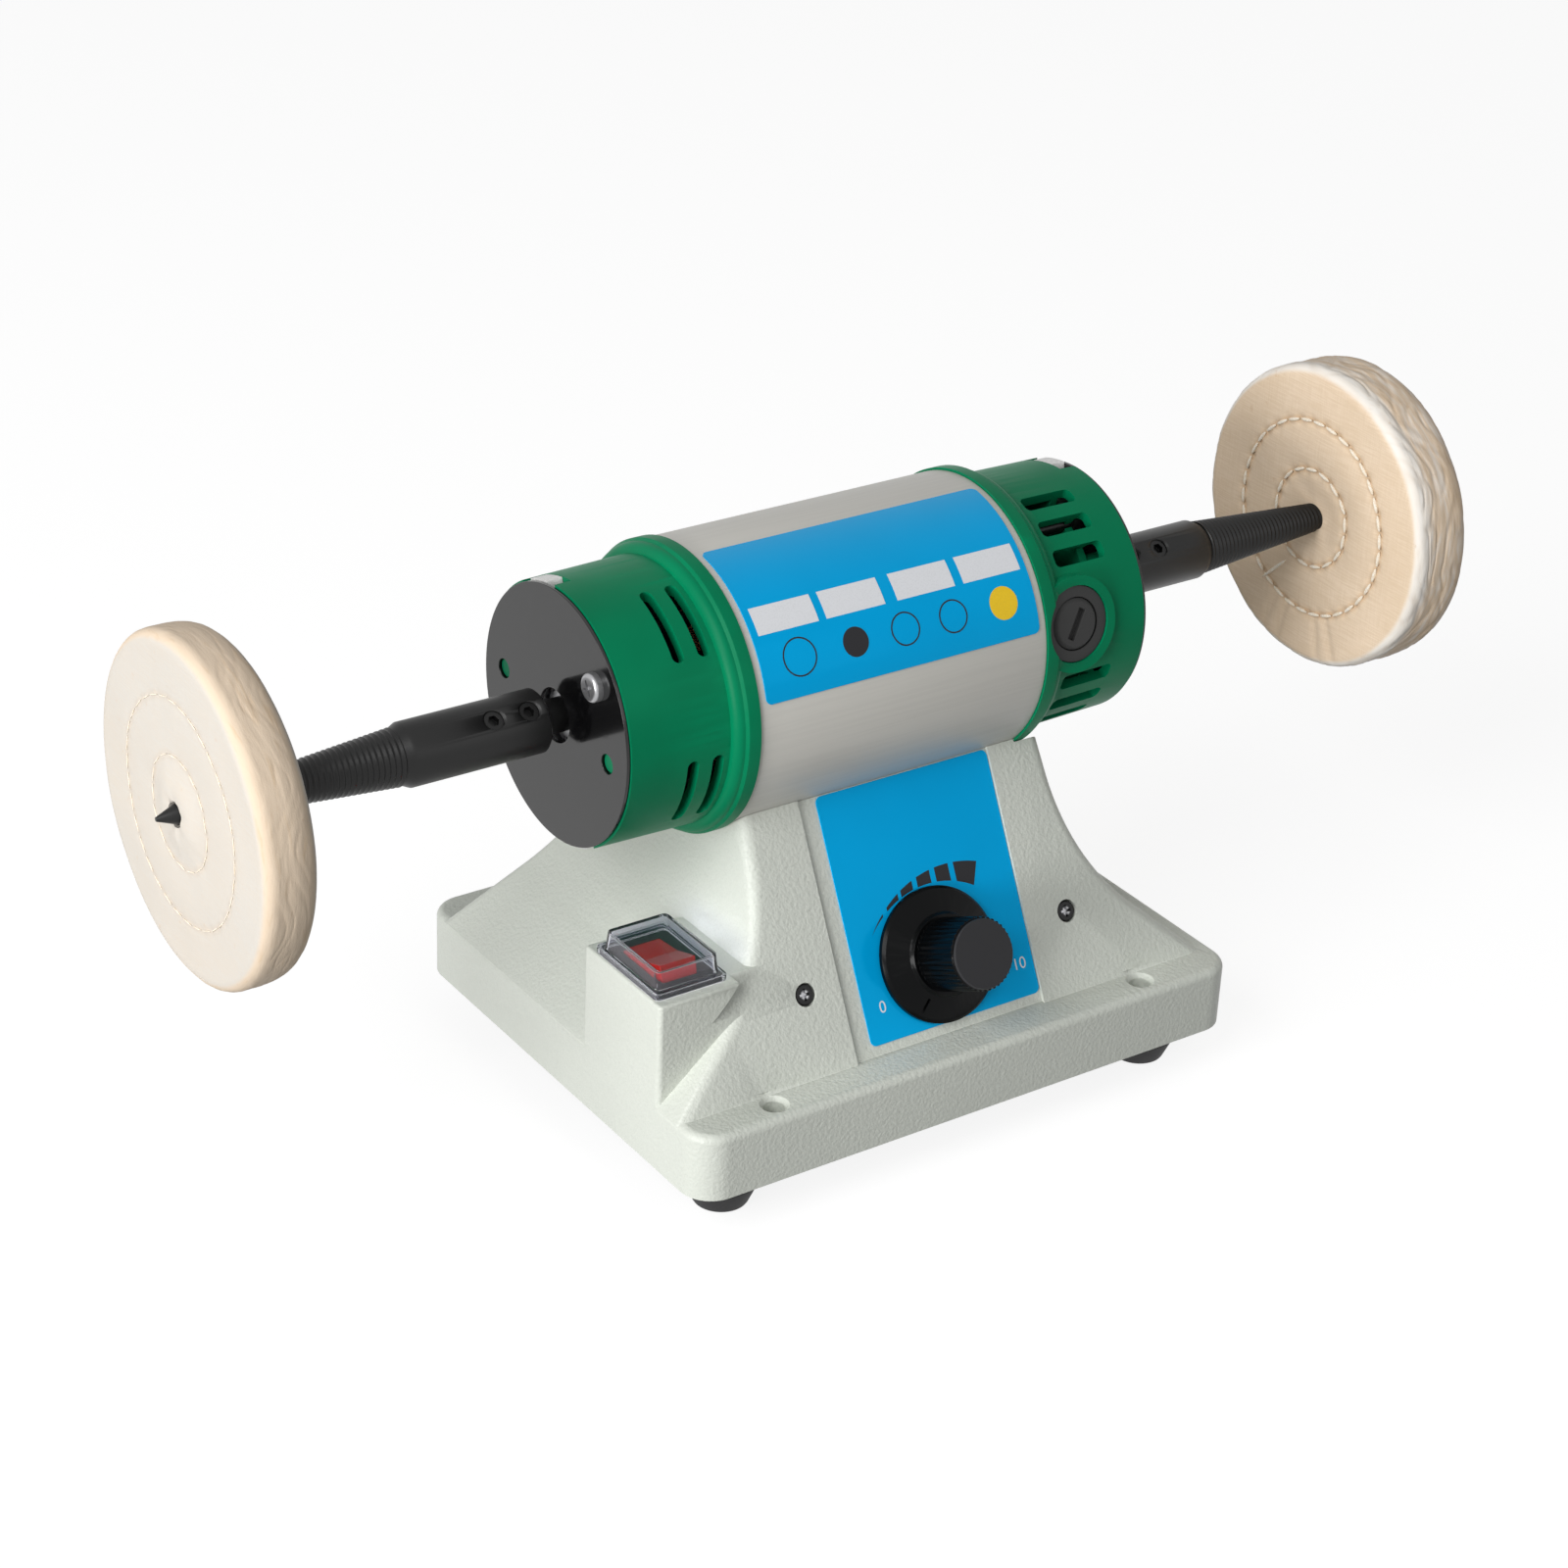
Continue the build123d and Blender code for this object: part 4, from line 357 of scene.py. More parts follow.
def knob_plastic():
    """Glossy black skirt and grip, and a turned face on top painted grey as a painted reflection of the sky.
    """
    f = Finish("knob_plastic")
    x, y, z = f.xyz()
    out = (y + PED_FOOT_Y) * OUT.y + (z - PLINTH_TOP) * OUT.z
    top = out.steps(KNOB_TOP - 0.4 * MM, KNOB_TOP)
    grain = f.noise(1200, 2.0, 0.5)
    # Painted reflection: the top face is coloured grey for the sky light it reflects, while the glossy sides
    # stay black.
    f.set(Base_Color=f.mix(top, tuple(colours().black), seen(55, 55, 57)))
    f.set(Roughness=0.18 + 0.3 * top + 0.06 * grain, Specular_IOR_Level=0.1)
    return f.bump(grain, 0.02 * MM, 0.4)


def gloss_black():
    """Glossy black stoving enamel on the end discs, with light dust marks."""
    f = Finish("gloss_black")
    dust = f.noise(260, 4.0, 0.65)
    f.set(Base_Color=f.mix(dust.steps(0.55, 0.8), seen(13, 13, 14), seen(30, 30, 32)))
    f.set(Roughness=0.10 + 0.12 * dust.steps(0.5, 0.75))
    return f.bump(f.noise(70, 2.0, 0.4), 0.03 * MM, 0.35)


def black_oxide():
    """Blackened steel, brighter where it is handled, with a trace of rust in the thread."""
    f = Finish("black_oxide")
    grain = f.noise(1.0, 3.0, 0.55, f.stretched(1800, 160, 160))
    patches = f.noise(120, 3.0, 0.6)
    tone = tuple(colours().oxide)
    worn = f.mix(patches.steps(0.52, 0.75), tone, shade(tone, 1.9))
    rust = patches.steps(0.58, 0.7) * f.noise(600, 2.0, 0.5).steps(0.5, 0.62)
    f.set(Base_Color=f.mix(rust * 0.35, worn, seen(74, 46, 34)))
    f.set(Roughness=0.34 + 0.22 * grain, Specular_IOR_Level=0.1)
    return f.bump(grain, 0.015 * MM, 0.5)


def black_with_painted_glint():
    """Blackened screw heads with a painted glint: the middle of each head is made bright and partly metallic.
    """
    f = Finish("black_with_painted_glint")
    x, y, z = f.xyz()
    sideways = (x - PANEL_X).absolute() - SCREW_REACH
    upward = (y + PED_FOOT_Y) * UP.y + (z - PLINTH_TOP) * UP.z - SCREW_RISE
    away = (sideways * sideways + upward * upward).root()
    # Painted highlight: a bright spot round the middle of each front screw head stands in for its glint.
    painted_glint = 1 - (away + 0.5 * MM * f.noise(900, 2.0, 0.5)).steps(1.1 * MM, 1.9 * MM)
    f.set(Base_Color=f.mix(painted_glint, seen(20, 20, 21), seen(205, 205, 208)), Metallic=painted_glint * 0.7)
    f.set(Roughness=0.3 + 0.1 * f.noise(1600, 2.0, 0.5), Specular_IOR_Level=0.3)
    return f.bump(f.noise(2200, 1.0, 0.5), 0.02 * MM, 0.4)


def bare_steel(name, tone, rough=0.25, lay=(300, 300, 300), metal=1.0):
    """Machined or plated metal, with fine marks along its lay."""
    f = Finish(name)
    marks = f.noise(4.0, 3.0, 0.6, f.stretched(*lay))
    wide = f.noise(90, 2.0, 0.5)
    f.set(Base_Color=f.mix(wide.steps(0.4, 0.8), tone, shade(tone, 0.85)))
    f.set(Metallic=metal, Roughness=rough + 0.15 * marks)
    return f.bump(marks, 0.01 * MM, 0.4)


def cast_metal():
    """Sand-white die casting of the bearing bridges."""
    f = Finish("cast_metal")
    grain = f.noise(900, 3.0, 0.6)
    f.set(Base_Color=f.mix(grain.steps(0.35, 0.7), seen(214, 214, 212), seen(232, 232, 231)))
    f.set(Metallic=0.35, Roughness=0.38 + 0.2 * grain)
    return f.bump(grain, 0.05 * MM, 0.6)


def cloth():
    """Unbleached cotton: weave on the faces, folded plies with tan and pale streaks round the rim, and
    painted shade in the creases of the folds.
    """
    f = Finish("cotton_cloth")
    x, radius, _ = f.round_axis()
    _, y, z = f.xyz()
    right = x.steps(-0.1, 0.1)
    tone = f.mix(right, tuple(colours().washed), tuple(colours().cotton))
    rim = radius.steps(RIM_FROM, RIM_TO)
    weft = f.noise(1.0, 2.0, 0.5, f.stretched(300, 110, 2400))
    warp = f.noise(1.0, 2.0, 0.5, f.stretched(300, 2400, 110))
    threads = (y * (tau / YARN)).sine() * (z * (tau / YARN)).sine()
    weave = weft * 0.65 + warp * 0.35 + threads * 0.1
    lean = f.noise(30, 2.0, 0.5)
    side, height = y / radius * 4, (z - AXIS_Z) / radius * 4
    streaks = f.noise(1.0, 4.0, 0.6, f.add("CombineXYZ", sockets={0: x * 640 + 5 * lean, 1: side, 2: height}))
    # Creases of the rim's folds, taken from the mesh, used below for painted shade.
    fold = f.add("Attribute", {"attribute_name": "fold"}, output="Fac")
    wide = f.noise(26, 3.0, 0.55)
    specks = f.noise(240, 3.0, 0.65).steps(0.66, 0.76)
    strong = 0.25 + 0.75 * right
    base = f.mix(wide.steps(0.3, 0.7) * 0.4 * strong, tone, seen(230, 206, 176))
    base = f.mix(weave.steps(0.38, 0.60) * (1 - rim) * 0.4 * strong, base, seen(218, 190, 154))
    for ring in STITCH_RINGS:
        # Painted shade with some dirt: the cloth is darkened tan along each ring of stitches, where the seam
        # sinks into its groove.
        seam_shade_and_dirt = 1 - (radius - ring).absolute().steps(0.5 * MM, 2.0 * MM)
        base = f.mix(seam_shade_and_dirt * 0.45 * strong, base, seen(186, 152, 112))
    base = f.mix(rim * (1 - right), base, seen(228, 208, 184))
    lip = 1 - (x - LIP_X).absolute().steps(1.5 * MM, 5 * MM)
    base = f.mix(lip * rim * 0.8, base, seen(254, 250, 243))
    base = f.mix(streaks.steps(0.56, 0.34) * rim * right * 0.5, base, seen(252, 249, 244))
    base = f.mix(streaks.steps(0.54, 0.70) * rim * (1 - lip) * 0.5, base, seen(212, 184, 148))
    # Painted shade: the cloth is darkened tan in the creases of the folds.
    base = f.mix(fold * 0.35, base, seen(204, 172, 132))
    f.set(Base_Color=f.mix(specks * 0.25, base, seen(206, 166, 118)))
    f.set(Roughness=0.86 + 0.1 * weave, Specular_IOR_Level=0.2, Sheen_Weight=0.1)
    cut = f.add("Mix", sockets={0: rim, 2: weave, 3: streaks})
    return f.bump(cut + 0.3 * f.noise(2400, 2.0, 0.6), 0.16 * MM, 0.8)


def thread():
    """Twisted cotton of the stitches."""
    f = Finish("sewing_thread")
    twist = f.noise(2600, 2.0, 0.5)
    f.set(Base_Color=f.mix(twist.steps(0.35, 0.65), seen(240, 224, 198), seen(254, 248, 236)), Roughness=0.8)
    return f.bump(twist, 0.08 * MM, 0.8)


def rubber():
    f = Finish("foot_rubber")
    bloom = f.noise(140, 4.0, 0.6)
    f.set(Base_Color=f.mix(bloom.steps(0.5, 0.8), seen(20, 20, 21), seen(36, 36, 37)))
    f.set(Roughness=0.55 + 0.25 * bloom)
    return f.bump(f.noise(1600, 2.0, 0.5), 0.05 * MM, 0.6)


def film():
    """Glossy printed film, with a faint grain that shows in its reflections."""
    f = Finish("label_film")
    grain = f.noise(900, 2.0, 0.5)
    wide = f.noise(30, 2.0, 0.5)
    tone = tuple(colours().film)
    f.set(Base_Color=f.mix(wide.steps(0.35, 0.75), tone, shade(tone, 0.96)))
    f.set(Roughness=0.08 + 0.05 * grain, Specular_Tint=(0.0, 0.6, 1.0))
    return f.bump(grain, 0.012 * MM, 0.4)


def ink(name, tone, gloss=0.5):
    f = Finish(name)
    f.set(Specular_IOR_Level=gloss)
    screen = f.noise(2200, 1.0, 0.5)
    f.set(Base_Color=f.mix(screen.steps(0.45, 0.7), tone, shade(tone, 0.95)), Roughness=0.34 + 0.1 * screen)
    return f.bump(screen, 0.004 * MM, 0.3)


def clear_cover():
    """Clear soft plastic, a little violet, that lets the lamps through to the rocker."""
    f = Finish("clear_cover")
    haze = f.noise(160, 3.0, 0.6)
    f.set(Base_Color=seen(238, 238, 248), Roughness=0.03 + 0.05 * haze.steps(0.5, 0.8), IOR=1.42)
    f.set(Transmission_Weight=1.0)
    f.bump(f.noise(45, 2.0, 0.4), 0.04 * MM, 0.3)
    shadow_ray = f.add("LightPath", output="Is Shadow Ray")
    window = f.add("BsdfTransparent", sockets={0: seen(238, 238, 243)})
    both = f.add("MixShader", sockets={0: shadow_ray, 1: Wire(f.tree, f.shader.outputs[0]), 2: window})
    f.tree.links.new(both.socket, f.output.inputs["Surface"])
    return f


def copper():
    """Lacquered winding wire, laid along the slots."""
    f = Finish("winding_wire")
    x, radius, turn = f.round_axis()
    strands = (radius * (tau / (0.7 * MM)) + turn * 40).sine()
    f.set(Base_Color=f.mix(strands.steps(-0.6, 0.8), seen(110, 56, 30), seen(196, 116, 66)))
    f.set(Metallic=0.8, Roughness=0.36 + 0.1 * strands)
    return f.bump(strands, 0.15 * MM, 0.6)


def laminations():
    f = Finish("laminations")
    x, y, z = f.xyz()
    sheets = (x * (tau / (0.5 * MM))).sine()
    f.set(Base_Color=f.mix(sheets.steps(-0.5, 0.9), seen(70, 70, 74), seen(150, 150, 154)))
    f.set(Metallic=0.9, Roughness=0.42 + 0.1 * sheets)
    return f.bump(sheets, 0.05 * MM, 0.5)


def circuit_board():
    f = Finish("circuit_board")
    tracks = f.cells(260)
    f.set(Base_Color=f.mix(tracks.steps(0.35, 0.4), seen(10, 92, 52), seen(24, 118, 70)))
    f.set(Roughness=0.35 + 0.1 * tracks)
    return f.bump(tracks, 0.03 * MM, 0.4)


def carbon():
    f = Finish("brush_carbon")
    grit = f.noise(1400, 3.0, 0.6)
    f.set(Base_Color=f.mix(grit.steps(0.4, 0.7), seen(40, 40, 42), seen(78, 78, 80)))
    f.set(Roughness=0.5 + 0.2 * grit)
    return f.bump(grit, 0.04 * MM, 0.5)


FINISHES = {
    "hammered_enamel": hammered_enamel,
    "satin_shell": satin_shell,
    "cap_plastic": lambda: moulded("cap_plastic", tuple(colours().cap), 0.34, 0.03, 0.08),
    "black_plastic": lambda: moulded("black_plastic", tuple(colours().black), 0.3, 0.04, 0.08),
    "knob_plastic": knob_plastic,
    "rocker_plastic": lambda: moulded("rocker_plastic", tuple(colours().rocker), 0.2, 0.01),
    "gloss_black": gloss_black,
    "black_oxide": black_oxide,
    "black_with_painted_glint": black_with_painted_glint,
    "plated_steel": lambda: bare_steel("plated_steel", seen(172, 172, 174), 0.24, metal=0.85),
    "ground_steel": lambda: bare_steel("ground_steel", seen(168, 168, 170), 0.26, (20, 900, 900)),
    "cast_metal": cast_metal,
    "cotton_cloth": cloth,
    "sewing_thread": thread,
    "foot_rubber": rubber,
    "label_film": film,
    "white_ink": lambda: ink("white_ink", seen(236, 238, 242)),
    "dark_ink": lambda: ink("dark_ink", seen(44, 44, 47), 0.15),
    "yellow_ink": lambda: ink("yellow_ink", tuple(colours().yellow)),
    "clear_cover": clear_cover,
    "winding_wire": copper,
    "laminations": laminations,
    "circuit_board": circuit_board,
    "brush_carbon": carbon,
}


def finish(name):
    """The material of that name, made the first time it is asked for."""
    return bpy.data.materials.get(name) or FINISHES[name]().material


# ---- making pieces ----
def piece(bm, name, material, body, slot, *nodes, sharp=35.0):
    """Turns a bmesh into a finished piece that rides on a body and stands for CAD nodes."""
    mesh = bpy.data.meshes.new(name)
    bm.to_mesh(mesh)
    bm.free()
    mesh.shade_smooth()
    mesh.set_sharp_from_angle(angle=radians(sharp))
    mesh.materials.append(finish(material))
    thing = bpy.data.objects.new(name, mesh)
    bpy.context.scene.collection.objects.link(thing)
    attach(thing, body)
    if nodes:
        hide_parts(*nodes)
    return thing


def soften(thing, width, angle=35.0, segments=3):
    """Rounds the sharp edges of a piece."""
    bevel = thing.modifiers.new("rounded_edges", "BEVEL")
    bevel.width = width
    bevel.segments = segments
    bevel.limit_method = "ANGLE"
    bevel.angle_limit = radians(angle)
    bevel.harden_normals = True
    bevel.use_clamp_overlap = True
    return thing


def joined(node):
    """Copy of a CAD node's surface with its loose triangles joined and flat faces made whole."""
    bm = bmesh.new()
    bm.from_mesh(frame["nodes"][node].data)
    bmesh.ops.remove_doubles(bm, verts=bm.verts[:], dist=0.002 * MM)
    bmesh.ops.dissolve_limit(bm, angle_limit=radians(0.5), verts=bm.verts[:], edges=bm.edges[:])
    return bm


def machined(node, material, slot, width, segments=2, angle=35.0):
    """CAD node again, with its sharp edges rounded."""
    body = frame["nodes"][node]["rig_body"]
    thing = piece(joined(node), node + "_finished", material, body, slot, node)
    return soften(thing, width, angle, segments)


def coat(material, node):
    """Gives a CAD node that stays as it is its finish."""
    for slot in frame["nodes"][node].material_slots:
        slot.material = finish(material)


def outline(bm, points, closed=True):
    """Edges through (x, radius) points, above the motor axis."""
    verts = [bm.verts.new((x, 0, AXIS_Z + radius)) for x, radius in points]
    ends = verts[1:] + verts[:1] if closed else verts[1:]
    edges = [bm.edges.new(pair) for pair in zip(verts, ends)]
    return verts + edges


def closed_up(bm, join=0.001 * MM):
    """Joins doubled points, drops faces with no area and turns every face outward."""
    bmesh.ops.remove_doubles(bm, verts=bm.verts[:], dist=join)
    bmesh.ops.dissolve_degenerate(bm, edges=bm.edges[:], dist=join / 2)
    bmesh.ops.recalc_face_normals(bm, faces=bm.faces[:])
    return bm


def turned(points, steps=96, bm=None):
    """Solid of revolution about the motor axis from an (x, radius) outline."""
    bm = bm or bmesh.new()
    geometry = outline(bm, points)
    bmesh.ops.spin(
        bm, geom=geometry, cent=(0, 0, AXIS_Z), axis=(1, 0, 0), dvec=(0, 0, 0),
        angle=tau, steps=steps, use_merge=True, use_duplicate=False,
    )
    return closed_up(bm)


def rounded(corners, radius, steps=3):
    """Closed outline through corners, each cut by a small arc."""
    points = []
    count = len(corners)
    for index in range(count):
        here = Vector(corners[index])
        before = Vector(corners[index - 1]) - here
        after = Vector(corners[(index + 1) % count]) - here
        reach = min(radius, before.length / 2.2, after.length / 2.2)
        start, end = here + before.normalized() * reach, here + after.normalized() * reach
        for step in range(steps + 1):
            t = step / steps
            points.append(tuple(start * (1 - t) ** 2 + here * 2 * t * (1 - t) + end * t**2))
    return points


def laid(bm, place):
    """Moves a shape made at the origin to its place."""
    bmesh.ops.transform(bm, matrix=place, verts=bm.verts[:])
    return bm


# ---- base ----
class LATHE_OT_base(bpy.types.Operator):
    """Cast base in hammered enamel"""

    bl_idname = "lathe.base"
    bl_label = "Base casting"

    def execute(self, context):
        machined("base_casting", "hammered_enamel", "cast_paint", sizes().cast_edge, 3, 40)
        return {"FINISHED"}


FOOT_R = 11.2 * MM
FOOT_BOTTOM_R = 8.0 * MM
FOOT_TAPER = 7.5 * MM
FOOT_HEAD_ROOM = (4.4 * MM, 5.0 * MM)  # radius and depth of the hollow for the screw head
FOOT_BORE_R = 2.2 * MM
FOOT_EDGE = 1.0 * MM


def foot_outline(low, high):
    """Rubber foot: tapered below with a rolled lower edge, hollow for the screw."""
    head_r, head_depth = FOOT_HEAD_ROOM
    seat = low + head_depth
    corners = [(head_r, low), (FOOT_BOTTOM_R, low), (FOOT_R, low + FOOT_TAPER), (FOOT_R, high),
               (FOOT_BORE_R, high), (FOOT_BORE_R, seat), (head_r, seat)]
    return rounded(corners, FOOT_EDGE)


class LATHE_OT_feet(bpy.types.Operator):
    """Rubber feet with their screws, and the plate that closes the base"""

    bl_idname = "lathe.feet"
    bl_label = "Feet and bottom plate"

    def execute(self, context):
        for corner in ("front_left", "front_right", "back_left", "back_right"):
            node = "rubber_foot_" + corner
            low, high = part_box(node)
            middle = (low + high) / 2
            bm = bmesh.new()
            points = foot_outline(low.z, high.z)
            verts = [bm.verts.new((middle.x + r, middle.y, z)) for r, z in points]
            edges = [bm.edges.new(pair) for pair in zip(verts, verts[1:] + verts[:1])]
            bmesh.ops.spin(
                bm, geom=verts + edges, cent=middle, axis=(0, 0, 1), dvec=(0, 0, 0),
                angle=tau, steps=64, use_merge=True, use_duplicate=False,
            )
            piece(closed_up(bm), node + "_moulded", "foot_rubber", "base", "rubber", node)
        machined("bottom_plate", "gloss_black", "black_steel", sizes().pressed_edge)
        for node in ("bottom_plate_screws", "foot_screws"):
            machined(node, "plated_steel", "bright_steel", sizes().pressed_edge / 2)
        return {"FINISHED"}


# ---- motor ----
TUBE_WALL = 2.2 * MM
TUBE_EDGE = 0.4 * MM


class LATHE_OT_motor_tube(bpy.types.Operator):
    """Drawn motor tube in satin paint"""

    bl_idname = "lathe.motor_tube"
    bl_label = "Motor tube"

    def execute(self, context):
        bore = TUBE_R - TUBE_WALL
        corners = [(TUBE_X0, bore), (TUBE_X0, TUBE_R), (TUBE_X1, TUBE_R), (TUBE_X1, bore)]
        bm = turned(rounded(corners, TUBE_EDGE), 160)
        piece(bm, "motor_tube_drawn", "satin_shell", "base", "tube_paint", "motor_tube")
        return {"FINISHED"}


class LATHE_OT_end_caps(bpy.types.Operator):
    """Moulded end caps, their black discs, screws and the cast bearing bridges"""

    bl_idname = "lathe.end_caps"
    bl_label = "End caps"

    def execute(self, context):
        for side in ("left", "right"):
            machined(side + "_end_cap", "cap_plastic", "green_plastic", sizes().moulded_edge, 3, 40)
            machined(side + "_end_disc", "gloss_black", "black_steel", sizes().pressed_edge)
            machined(side + "_bearing_bridge", "cast_metal", "cast_aluminium", sizes().moulded_edge)
        machined("end_disc_screws", "plated_steel", "bright_steel", sizes().pressed_edge / 2)
        return {"FINISHED"}


class LATHE_OT_brush_gear(bpy.types.Operator):
    """Brush holders and their slotted caps"""

    bl_idname = "lathe.brush_gear"
    bl_label = "Brush gear"

    def execute(self, context):
        for side in ("front", "rear"):
            machined(side + "_brush_holder", "black_plastic", "black_plastic", sizes().pressed_edge)
            machined(side + "_brush_cap", "black_plastic", "black_plastic", sizes().pressed_edge)
        return {"FINISHED"}


# ---- labels ----
def film_patch(bm, x0, x1, low, high, radius, steps):
    """Thin curved patch on the motor between two turns, in degrees up from the front."""
    a, b = radians(low), radians(high)
    start = [bm.verts.new((x, -radius * cos(a), AXIS_Z + radius * sin(a))) for x in (x0, x1)]
    edge = bm.edges.new(start)
    bmesh.ops.spin(
        bm, geom=start + [edge], cent=(0, 0, AXIS_Z), axis=(1, 0, 0), dvec=(0, 0, 0),
        angle=a - b, steps=steps, use_merge=False, use_duplicate=False,
    )


def wrapped(bm, x, turn, radius):
    """Rolls a flat shape, x along the motor and y round it, onto the motor."""
    for v in bm.verts:
        angle = radians(turn) + v.co.y / radius
        r = radius + v.co.z
        v.co = Vector((x + v.co.x, -r * cos(angle), AXIS_Z + r * sin(angle)))


def ring_shape(bm, outer, inner, segments=48):
    """Flat ring, or where inner is 0 a disc in narrow rings that can follow the curve of the motor."""
    bmesh.ops.create_circle(bm, cap_ends=True, segments=segments, radius=outer)
    middle = bm.faces[:]
    step = outer - inner if inner else outer / 6
    for _ in range(1 if inner else 5):
        bmesh.ops.inset_individual(bm, faces=middle, thickness=step, depth=0)
    if inner:
        bmesh.ops.delete(bm, geom=middle, context="FACES_ONLY")


def outward(bm):
    """Turns an open sheet's faces away from the motor axis."""
    middle = Vector((0, 0, AXIS_Z))
    for face in bm.faces:
        centre = face.calc_center_median()
        if face.normal.dot(Vector((0, centre.y - middle.y, centre.z - middle.z))) < 0:
            face.normal_flip()


BOXES = ((-46.2, -25.9), (-23.3, -3.1), (1.1, 21.4), (24.4, 44.8))  # blank fields on the motor label
BOX_LOW, BOX_HIGH = 39.9, 51.0
MARKS = (  # x, turn, outer radius, line, ink
    (-35.2, 28.8, 5.6, 0.45, "dark_ink"),
    (-16.2, 28.9, 4.3, 0.0, "dark_ink"),
    (1.0, 28.9, 4.9, 0.45, "dark_ink"),
    (17.8, 28.9, 4.9, 0.45, "dark_ink"),
    (35.8, 28.9, 4.9, 0.0, "yellow_ink"),
)


class LATHE_OT_motor_label(bpy.types.Operator):
    """Printed film on the motor, with blank fields and plain round marks"""

    bl_idname = "lathe.motor_label"
    bl_label = "Motor label"

    def execute(self, context):
        machined("motor_label", "label_film", "blue_label", 0.1 * MM, 1, 50)
        bm = bmesh.new()
        for x0, x1 in BOXES:
            film_patch(bm, x0 * MM, x1 * MM, BOX_LOW, BOX_HIGH, FILM_R + PRINT_T, 12)
        outward(bm)
        piece(bm, "motor_label_fields", "white_ink", "base", "blue_label")
        for index, (x, turn, outer, line, tone) in enumerate(MARKS):
            bm = bmesh.new()
            ring_shape(bm, outer * MM, (outer - line) * MM if line else 0)
            wrapped(bm, x * MM, turn, FILM_R + PRINT_T)
            bm.normal_update()
            outward(bm)
            piece(bm, f"motor_label_mark_{index}", tone, "base", "blue_label")
        return {"FINISHED"}


WEDGE_STRIPS = (  # left edge, right edge at the inner and at the outer arc
    (-22.5, -17.2, -17.2),
    (-15.4, -10.7, -10.7),
    (-9.5, -5.0, -5.0),
    (-3.2, 1.75, 1.75),
    (3.6, 8.6, 8.6),
    (10.5, 16.1, 18.7),
)
WEDGE_INNER = (0.2, -9.6, 30.65)  # centre and radius of the arc nearest the knob
WEDGE_OUTER = (6.8, -11.95, 37.2)


def arc_point(x, arc):
    centre_x, centre_y, radius = arc
    return Vector((x, centre_y + sqrt(radius**2 - (x - centre_x) ** 2), 0)) * MM


def speed_wedge(bm):
    """Marks that grow to the right above the knob, parted by upright slits."""
    steps = 5
    for left, right_inner, right_outer in WEDGE_STRIPS:
        rows = []
        for step in range(steps + 1):
            share = step / steps
            low = arc_point(left + share * (right_inner - left), WEDGE_INNER)
            high = arc_point(left + share * (right_outer - left), WEDGE_OUTER)
            rows.append([bm.verts.new(low), bm.verts.new(high)])
        for (a, b), (c, d) in zip(rows, rows[1:]):
            bm.faces.new((a, c, d, b))
    bm.normal_update()
    return bm


def digits(words, size):
    """Mesh of plain figures, centred at the origin."""
    text = bpy.data.curves.new("figures", "FONT")
    text.body = words
    text.size = size
    text.align_x = "CENTER"
    text.align_y = "CENTER"
    holder = bpy.data.objects.new("figures", text)
    bpy.context.scene.collection.objects.link(holder)
    bpy.context.view_layer.update()
    mesh = bpy.data.meshes.new_from_object(holder)
    bm = bmesh.new()
    bm.from_mesh(mesh)
    bpy.data.objects.remove(holder)
    bpy.data.meshes.remove(mesh)
    return bm


class LATHE_OT_front_label(bpy.types.Operator):
    """Printed film on the sloping front, with its dial marks and figures"""

    bl_idname = "lathe.front_label"
    bl_label = "Front label"

    def execute(self, context):
        machined("front_label", "label_film", "blue_label", 0.15 * MM, 2, 50)
        above = FRONT_FILM + PRINT_T
        dial_x, dial_rise = DIAL_AT
        bm = laid(speed_wedge(bmesh.new()), on_front(dial_x, dial_rise, above))
        piece(bm, "front_label_wedge", "dark_ink", "base", "blue_label")
        for name, words, x, rise in (("low", "0", -24.2, -9.6), ("high", "10", 25.6, -10.0)):
            bm = laid(digits(words, 5.0 * MM), on_front(dial_x + x * MM, dial_rise + rise * MM, above))
            piece(bm, "front_label_figure_" + name, "white_ink", "base", "blue_label")
        return {"FINISHED"}


# ---- controls ----
class LATHE_OT_front_controls(bpy.types.Operator):
    """Speed knob, the two screws in the sloping front, and the cable gland"""

    bl_idname = "lathe.front_controls"
    bl_label = "Knob and front screws"

    def execute(self, context):
        machined("speed_knob", "knob_plastic", "black_plastic", 0.12 * MM, 2, 25)
        # The front screws take black with a painted glint in the middle of each head.
        machined("front_screws", "black_with_painted_glint", "black_oxide", sizes().pressed_edge / 2)
        machined("cable_gland", "black_plastic", "black_plastic", 0.4 * MM, 2, 40)
        return {"FINISHED"}


class LATHE_OT_switch(bpy.types.Operator):
    """Rocker switch under its clear cap"""

    bl_idname = "lathe.switch"
    bl_label = "Switch"

    def execute(self, context):
        machined("switch_body", "black_plastic", "black_plastic", 0.25 * MM, 2, 40)
        machined("switch_rocker", "rocker_plastic", "red_plastic", 0.5 * MM, 3, 30)
        machined("switch_cover", "clear_cover", "clear_plastic", 0.3 * MM, 3, 40)
        return {"FINISHED"}


# ---- spindles ----
THREAD_START = 143.35 * MM
THREAD_END = 205.95 * MM
THREAD_START_R = 8.3 * MM
THREAD_END_R = 3.4 * MM
TIP_R = 0.6 * MM
TIP_EDGE = 0.1 * MM


def crest(x):
    """Radius over the thread at distance x from the middle of the lathe."""
    share = (x - THREAD_START) / (THREAD_END - THREAD_START)
    return THREAD_START_R + share * (THREAD_END_R - THREAD_START_R)


